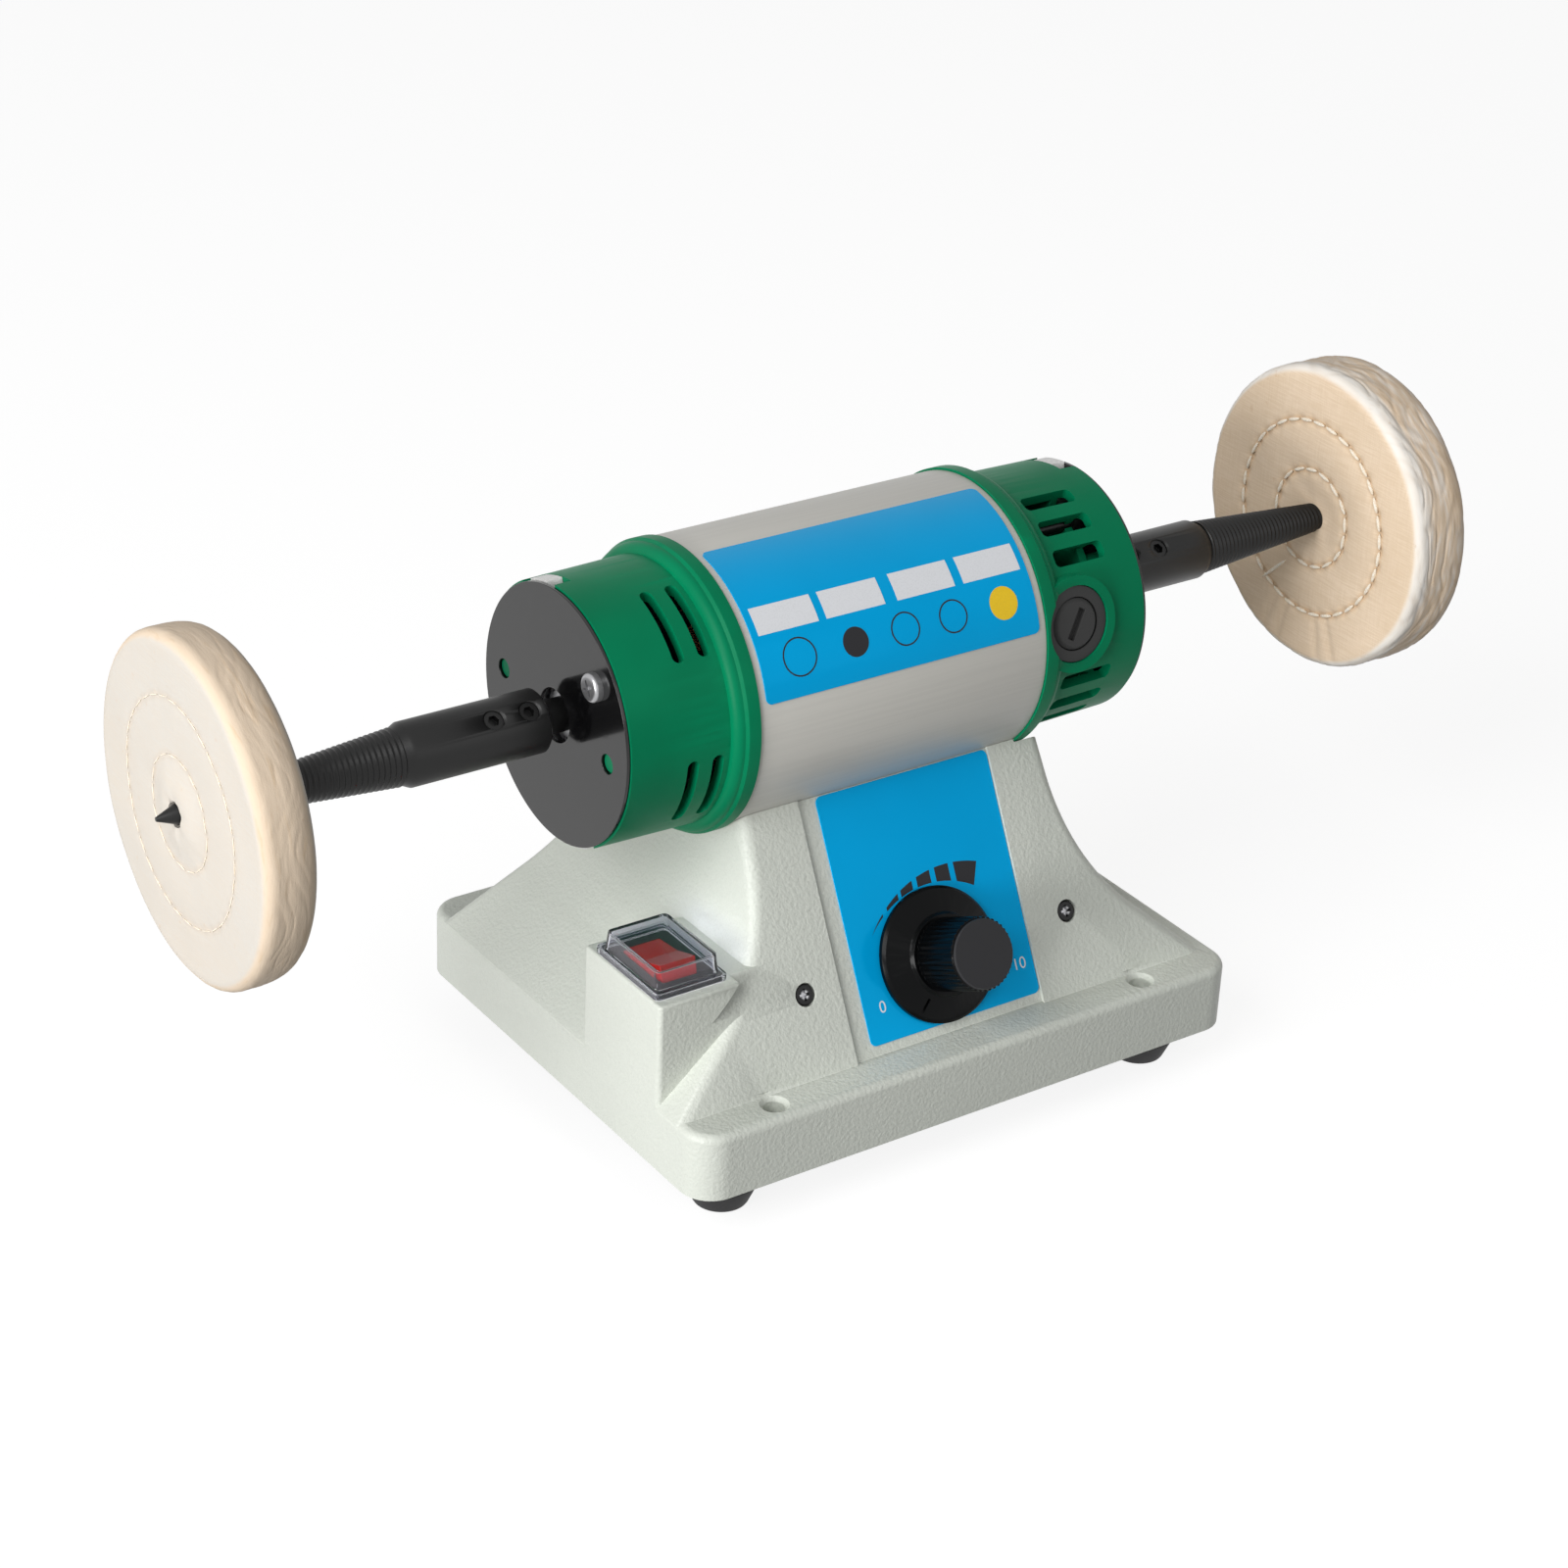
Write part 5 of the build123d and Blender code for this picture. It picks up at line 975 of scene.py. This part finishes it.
def helix(pitch, depth, steps=48):
    """Thread on the taper: one pitch of its outline, screwed along the axis, then drawn in to the taper."""
    bm = bmesh.new()
    start = THREAD_START - 2 * pitch
    turns = int((THREAD_END - start) / pitch) + 2
    flat = 0.12 * pitch
    points = [(start, -depth), (start + flat, -depth), (start + pitch / 2 - flat / 2, 0),
              (start + pitch / 2 + flat / 2, 0), (start + pitch - flat, -depth), (start + pitch, -depth)]
    geometry = outline(bm, [(x, THREAD_START_R + r) for x, r in points], closed=False)
    bmesh.ops.spin(
        bm, geom=geometry, cent=(0, 0, AXIS_Z), axis=(1, 0, 0), dvec=(pitch / steps, 0, 0),
        angle=tau * turns, steps=steps * turns, use_merge=False, use_duplicate=False,
    )
    bmesh.ops.remove_doubles(bm, verts=bm.verts[:], dist=0.01 * MM)
    for v in bm.verts:
        radial = Vector((0, v.co.y, v.co.z - AXIS_Z))
        drawn = radial.length - THREAD_START_R + crest(v.co.x)
        v.co = Vector((v.co.x, 0, AXIS_Z)) + radial.normalized() * drawn
    return bm


def cut_at(bm, x, keep_above):
    """Cuts a shape square to the axis and closes the cut."""
    geometry = bm.verts[:] + bm.edges[:] + bm.faces[:]
    cut = bmesh.ops.bisect_plane(
        bm, geom=geometry, dist=0.0001 * MM, plane_co=(x, 0, AXIS_Z), plane_no=(1, 0, 0),
        clear_inner=keep_above, clear_outer=not keep_above,
    )["geom_cut"]
    edges = [e for e in cut if isinstance(e, bmesh.types.BMEdge)]
    bmesh.ops.holes_fill(bm, edges=edges, sides=0)
    return bm


def mirrored(bm):
    """Turns a left part into a right one, or back."""
    bmesh.ops.scale(bm, vec=(-1, 1, 1), verts=bm.verts[:])
    bmesh.ops.reverse_faces(bm, faces=bm.faces[:])


class LATHE_OT_spindles(bpy.types.Operator):
    """Blackened spindles: a sleeve with two set screws, a threaded taper and a point"""

    bl_idname = "lathe.spindles"
    bl_label = "Spindles"

    def execute(self, context):
        pitch, depth = sizes().thread_pitch, sizes().thread_depth
        tip_x = CAD_BOX[1][0]
        neck = THREAD_START - pitch / 2
        for side, name in ((-1, "left_spindle"), (1, "right_spindle")):
            sleeve = joined(name)
            if side < 0:
                mirrored(sleeve)
            cut_at(sleeve, neck, keep_above=False)
            taper = cut_at(cut_at(helix(pitch, depth), neck - 0.2 * MM, True), THREAD_END, False)
            root = THREAD_END - 0.6 * MM
            corners = [(root, 0), (root, THREAD_END_R - depth), (THREAD_END, THREAD_END_R - TIP_EDGE),
                       (tip_x, TIP_R), (tip_x, 0)]
            point = turned(rounded(corners, TIP_EDGE), 48)
            for part in (taper, point):
                mesh = bpy.data.meshes.new("part")
                closed_up(part).to_mesh(mesh)
                part.free()
                sleeve.from_mesh(mesh)
                bpy.data.meshes.remove(mesh)
            if side < 0:
                mirrored(sleeve)
            piece(sleeve, name + "_turned", "black_oxide", "rotor", "black_oxide", name, sharp=28)
        machined("spindle_set_screws", "black_oxide", "black_oxide", 0.1 * MM)
        return {"FINISHED"}


# ---- buffs ----
BUFF_R = half_height("left_buff")
STITCH_RINGS = (16.0 * MM, 32.0 * MM)
# Each buff: pull of its thread on the faces, looseness of its rim, how far its right edge splays outward
# and droops inward, and the half thickness of its thread.
BUFFS = {
    "left_buff": (0.22, 0.15, 0.5 * MM, 2.5 * MM, 0.16 * MM),
    "right_buff": (1.0, 0.45, 5.5 * MM, 0.0, 0.6 * MM),
}
HUB_R = 6 * MM  # middle of the dent or swell round the spindle
HUB_DENT = 1.3 * MM
HUB_SWELL = 2.4 * MM  # cloth that stands up there where the thread pulls less
SEAM_DEPTH, SEAM_HALF = 1.0 * MM, 1.7 * MM
CUSHION = 0.5 * MM  # swell between the two rings of stitches
PLEATS = (radians(168), radians(159))  # short folds from the outer stitches to the rim
PLEAT_DEPTH, PLEAT_HALF = 0.7 * MM, 1.6 * MM
SOFTNESS = 0.4 * MM  # slow unevenness of a face
EDGE_R = 3.6 * MM  # rounding between a face and the rim
RIM_SET_IN = 0.5 * MM  # room for the folds inside the buff's full radius
JOINING_STITCH = (26.5 * MM, radians(150), 14.5 * MM, radians(105))  # radius, turn, length, slant
THREAD_LIFT = 0.12 * MM


def hump(away):
    """Bell curve, 1 at 0."""
    return exp(-away * away)


def face_sink(radius, angle, hard, seed):
    """How far a face lies below its plane: hub, stitches, the swell between their rings, and pleats."""
    hub = hump((radius - HUB_R) / HUB_R)
    sunk = HUB_DENT * hub
    for ring in STITCH_RINGS:
        count = round(tau * ring / sizes().stitch)
        tuck = 0.62 + 0.38 * cos(count * (angle + 0.4 * seed))
        sunk += SEAM_DEPTH * tuck * hump((radius - ring) / SEAM_HALF)
    between = (radius - STITCH_RINGS[0]) / (STITCH_RINGS[1] - STITCH_RINGS[0])
    if 0 < between < 1:
        sunk -= CUSHION * sin(pi * between) ** 2
    if radius > STITCH_RINGS[1]:
        for pleat in PLEATS:
            sunk += PLEAT_DEPTH * hump((abs(angle) - pleat) * radius / PLEAT_HALF) * hard
    soft = noise.noise(Vector((radius * 60, sin(angle) * 1.8, cos(angle) * 1.8 + seed)))
    return hard * sunk + SOFTNESS * soft - (1 - hard) * HUB_SWELL * hub


def buff_outline(inner_r, half):
    """Outline of a buff, face to rim to face, as (x, radius) points with more where it bends."""
    top = BUFF_R - RIM_SET_IN
    shoulder = half - EDGE_R
    face = [inner_r + (top - EDGE_R - inner_r) * k / 44 for k in range(45)]
    bend = [radians(90 * k / 6) for k in range(1, 6)]
    corner = [(shoulder + EDGE_R * cos(a), top - EDGE_R * (1 - sin(a))) for a in bend]
    points = [(-half, r) for r in face]
    points += [(-x, r) for x, r in corner]
    points += [(-shoulder + 2 * shoulder * k / 40, top) for k in range(41)]
    points += reversed(corner)
    return points + [(half, r) for r in reversed(face)]


def shaped_cloth(bm, middle, half, name, seed):
    """Works the stitches, folds and splayed plies into a plain turned buff."""
    hard, loose, splay, droop, _ = BUFFS[name]
    depth = sizes().fold * loose
    fold = bm.verts.layers.float.new("fold")
    for v in bm.verts:
        radial = Vector((0, v.co.y, v.co.z - AXIS_Z))
        radius = radial.length
        angle = atan2(v.co.y, v.co.z - AXIS_Z)
        side, height = sin(angle), cos(angle)
        across_buff = v.co.x - middle
        rim = min(1.0, max(0.0, (radius - (BUFF_R - 4 * MM)) / (3 * MM)))
        face = max(0.0, abs(across_buff) / half * 8 - 7)
        drift = noise.noise(Vector((side * 1.7, height * 1.7, seed)))
        streak = noise.noise(Vector((across_buff * 330 + 5 * drift, side * 3.6 + seed, height * 3.6)))
        fine = noise.noise(Vector((across_buff * 760 + 6 * drift, side * 7 + seed, height * 7)))
        swell = noise.noise(Vector((across_buff * 90, side * 3.2 + seed, height * 3.2)))
        crease = max(0.0, 1 - abs(streak) * 5)
        edge = noise.noise(Vector((side * 3.4, height * 3.4 + seed, 3.1)))
        outer = min(1.0, max(0.0, (radius - 33 * MM) / (14 * MM)))
        sign = 1 if across_buff > 0 else -1
        # The fold layer marks the creases of the rim, where the cloth shader paints shade.
        v[fold] = rim * crease * loose
        v.co.x -= sign * face * face_sink(radius, angle, hard, seed) * (1 - rim)
        right = max(0.0, across_buff / half)
        v.co.x += rim * depth * edge + splay * outer * right
        rise = rim * depth * (0.8 * swell + 0.35 * fine - 0.7 * crease) - droop * outer * right**2
        v.co += radial.normalized() * rise


def lay_thread(bm, surface, sign, ring, angle, span, slant, thick):
    """One stitch on a face: a slim rounded bar along the ring, turned by slant."""
    made = bmesh.ops.create_icosphere(bm, subdivisions=2, radius=1.0)["verts"]
    bmesh.ops.scale(bm, vec=(thick, span / 2, thick), verts=made)
    bmesh.ops.rotate(bm, cent=(0, 0, 0), matrix=Matrix.Rotation(slant, 3, "X"), verts=made)
    bmesh.ops.translate(bm, vec=(surface + sign * THREAD_LIFT, 0, ring), verts=made)
    bmesh.ops.rotate(bm, cent=(0, 0, 0), matrix=Matrix.Rotation(-angle, 3, "X"), verts=made)
    bmesh.ops.translate(bm, vec=(0, 0, AXIS_Z), verts=made)


def stitches(middle, half, name, seed):
    """Threads of both rings on both faces; on the right buff one more run joins the rings."""
    bm = bmesh.new()
    stitch = sizes().stitch
    hard, thick = BUFFS[name][0], BUFFS[name][4]
    runs = [JOINING_STITCH] if name == "right_buff" else []
    for ring in STITCH_RINGS:
        count = round(tau * ring / stitch)
        for index in range(count):
            angle = tau * (index + 0.5) / count - 0.4 * seed
            slant = radians(7) * noise.noise(Vector((index * 1.7, ring * 900, seed)))
            runs.append((ring, angle, stitch * 0.9, slant))
    for sign in (-1, 1):
        for ring, angle, span, slant in runs:
            surface = middle + sign * (half - face_sink(ring, angle, hard, seed))
            lay_thread(bm, surface, sign, ring, angle, span, slant, thick)
    return bm


class LATHE_OT_buffs(bpy.types.Operator):
    """Stitched cotton buffs"""

    bl_idname = "lathe.buffs"
    bl_label = "Buffs"

    def execute(self, context):
        for seed, name in enumerate(BUFFS, 1):
            x0, x1 = across(name)
            middle, half = (x0 + x1) / 2, (x1 - x0) / 2
            hub = crest(abs(middle)) - 0.3 * MM
            bm = turned([(middle + x, r) for x, r in buff_outline(hub, half)], 300)
            shaped_cloth(bm, middle, half, name, seed)
            piece(bm, name + "_cloth", "cotton_cloth", "rotor", "cotton", name, sharp=80)
            bm = stitches(middle, half, name, seed)
            piece(bm, name + "_stitches", "sewing_thread", "rotor", "cotton", sharp=80)
        return {"FINISHED"}


# ---- what the casings hold ----
INNER_FINISHES = {
    "ground_steel": (
        "left_bearing_outer_ring", "left_bearing_inner_ring", "right_bearing_outer_ring",
        "right_bearing_inner_ring", "left_ball_cage", "right_ball_cage", "motor_mount_screws",
        "potentiometer_shaft", "potentiometer_nut", "control_bracket",
    ),
    "black_oxide": ("through_bolts", "rotor_shaft"),
    "plated_steel": ("bearing_bridge_screws", "switch_terminals", "front_brush_spring", "rear_brush_spring"),
    "laminations": ("stator_core", "armature_core"),
    "winding_wire": ("upper_field_coil", "lower_field_coil", "armature_windings", "commutator"),
    "black_plastic": ("cooling_fan", "potentiometer_body"),
    "brush_carbon": ("front_brush", "rear_brush"),
    "circuit_board": ("control_board",),
}


class LATHE_OT_inner_works(bpy.types.Operator):
    """Finishes of the motor, bearings and controls inside the casings"""

    bl_idname = "lathe.inner_works"
    bl_label = "Inner works"

    def execute(self, context):
        for material, nodes in INNER_FINISHES.items():
            for node in nodes:
                coat(material, node)
        return {"FINISHED"}


# ---- stage ----
CAMERA_PLACE = (-0.55262, -0.75789, 0.58604)
CAMERA_TURN = radians(-35.51)
CAMERA_RISE = radians(27.94)
CAMERA_ROLL = 0.046
SENSOR = 36.0
LENS = SENSOR * 3630.8 / 1600
TARGET = (0, 0, 0.09)  # what the lamps are aimed at
FLOOR_LIT = 0.55  # share of the floor's white that the lamps give


def aimed(place, target):
    """Matrix of a lamp at place that shines at target."""
    away = (Vector(place) - Vector(target)).normalized()
    return Matrix.Translation(place) @ away.to_track_quat("Z", "Y").to_matrix().to_4x4()


def lamp(name, place, size, power):
    light = bpy.data.lights.new(name, "AREA")
    light.shape = "RECTANGLE"
    light.size, light.size_y = size
    light.energy = power
    thing = bpy.data.objects.new(name, light)
    thing.matrix_world = aimed(place, TARGET)
    bpy.context.scene.collection.objects.link(thing)


def shown_rays(tree):
    """1 for what the camera, a reflection or a clear piece shows, 0 for the light on the object."""
    path = tree.nodes.new("ShaderNodeLightPath")
    camera, glossy, through = [
        Wire(tree, path.outputs[f"Is {kind} Ray"]) for kind in ("Camera", "Glossy", "Transmission")
    ]
    return camera.math("MAXIMUM", camera, glossy.math("MAXIMUM", glossy, through))


def white_world(strength):
    """Even light all round; the camera and reflections see plain white."""
    world = bpy.data.worlds.new("studio")
    world.use_nodes = True
    tree = world.node_tree
    tree.nodes.clear()
    shown = shown_rays(tree)
    background = tree.nodes.new("ShaderNodeBackground")
    feed(tree, background.inputs["Color"], (1, 1, 1))
    feed(tree, background.inputs["Strength"], strength + shown * (1 - strength))
    output = tree.nodes.new("ShaderNodeOutputWorld")
    tree.links.new(background.outputs[0], output.inputs["Surface"])
    bpy.context.scene.world = world


def floor_material(shadow):
    """White floor that keeps a faint shadow."""
    f = Finish("studio_floor")
    f.set(Base_Color=(shadow, shadow, shadow), Roughness=0.9, Specular_IOR_Level=0.0)
    glow = 1 - FLOOR_LIT * shadow
    f.set(Emission_Color=(1, 1, 1), Emission_Strength=shown_rays(f.tree) * glow)
    return f.material


class LATHE_OT_stage(bpy.types.Operator):
    """White floor, lamps, world and the camera of the photograph"""

    bl_idname = "lathe.stage"
    bl_label = "Stage"

    def execute(self, context):
        stage = context.scene.lathe_stage
        context.scene.view_settings.view_transform = "Standard"
        bm = bmesh.new()
        bmesh.ops.create_circle(bm, cap_ends=True, segments=64, radius=4.0)
        mesh = bpy.data.meshes.new("floor")
        bm.to_mesh(mesh)
        bm.free()
        mesh.materials.append(floor_material(stage.shadow))
        floor = bpy.data.objects.new("floor", mesh)
        context.scene.collection.objects.link(floor)
        white_world(stage.sky)
        lamp("key", (-1.66, -0.5, 0.27), (1.0, 0.5), stage.key)
        lamp("high", (-1.333, -0.485, 1.198), (1.0, 0.8), stage.high)
        lamp("fill", (0.3, -1.4, 0.8), (1.2, 0.8), stage.fill)

        flat = cos(CAMERA_RISE)
        back = Vector((sin(CAMERA_TURN) * flat, -cos(CAMERA_TURN) * flat, sin(CAMERA_RISE)))
        level = Vector((0, 0, 1)).cross(back).normalized()
        upright = back.cross(level)
        right = level * cos(CAMERA_ROLL) + upright * sin(CAMERA_ROLL)
        top = upright * cos(CAMERA_ROLL) - level * sin(CAMERA_ROLL)
        lens = bpy.data.cameras.new("camera")
        lens.sensor_width = SENSOR
        lens.lens = LENS
        lens.clip_start = 0.05
        lens.clip_end = 20
        camera = bpy.data.objects.new("camera", lens)
        aim = Matrix((right, top, back)).transposed().to_4x4()
        camera.matrix_world = Matrix.Translation(CAMERA_PLACE) @ aim
        context.scene.collection.objects.link(camera)
        context.scene.camera = camera
        return {"FINISHED"}


# ---- add-on ----
OPERATORS = (
    LATHE_OT_stage,
    LATHE_OT_base,
    LATHE_OT_feet,
    LATHE_OT_motor_tube,
    LATHE_OT_end_caps,
    LATHE_OT_brush_gear,
    LATHE_OT_motor_label,
    LATHE_OT_front_label,
    LATHE_OT_front_controls,
    LATHE_OT_switch,
    LATHE_OT_spindles,
    LATHE_OT_buffs,
    LATHE_OT_inner_works,
)


class LATHE_PT_panel(bpy.types.Panel):
    """Sizes, colours and pieces of the lathe"""

    bl_idname = "LATHE_PT_panel"
    bl_label = "Polishing lathe"
    bl_space_type = "VIEW_3D"
    bl_region_type = "UI"
    bl_category = "Lathe"

    def draw(self, context):
        for group in (context.scene.lathe_colours, context.scene.lathe_sizes, context.scene.lathe_stage):
            column = self.layout.column()
            for name in group.__annotations__:
                column.prop(group, name)
        for operator in OPERATORS:
            self.layout.operator(operator.bl_idname)


GROUPS = (LatheColours, LatheSizes, LatheStage)


def register():
    for group in (*GROUPS, *OPERATORS, LATHE_PT_panel):
        bpy.utils.register_class(group)
    bpy.types.Scene.lathe_colours = PointerProperty(type=LatheColours)
    bpy.types.Scene.lathe_sizes = PointerProperty(type=LatheSizes)
    bpy.types.Scene.lathe_stage = PointerProperty(type=LatheStage)


def unregister():
    del bpy.types.Scene.lathe_stage
    del bpy.types.Scene.lathe_sizes
    del bpy.types.Scene.lathe_colours
    for group in (LATHE_PT_panel, *reversed(OPERATORS), *reversed(GROUPS)):
        bpy.utils.unregister_class(group)


def main():
    register()
    for operator in OPERATORS:
        getattr(bpy.ops.lathe, operator.bl_idname.split(".")[1])()


if __name__ == "__main__":
    main()
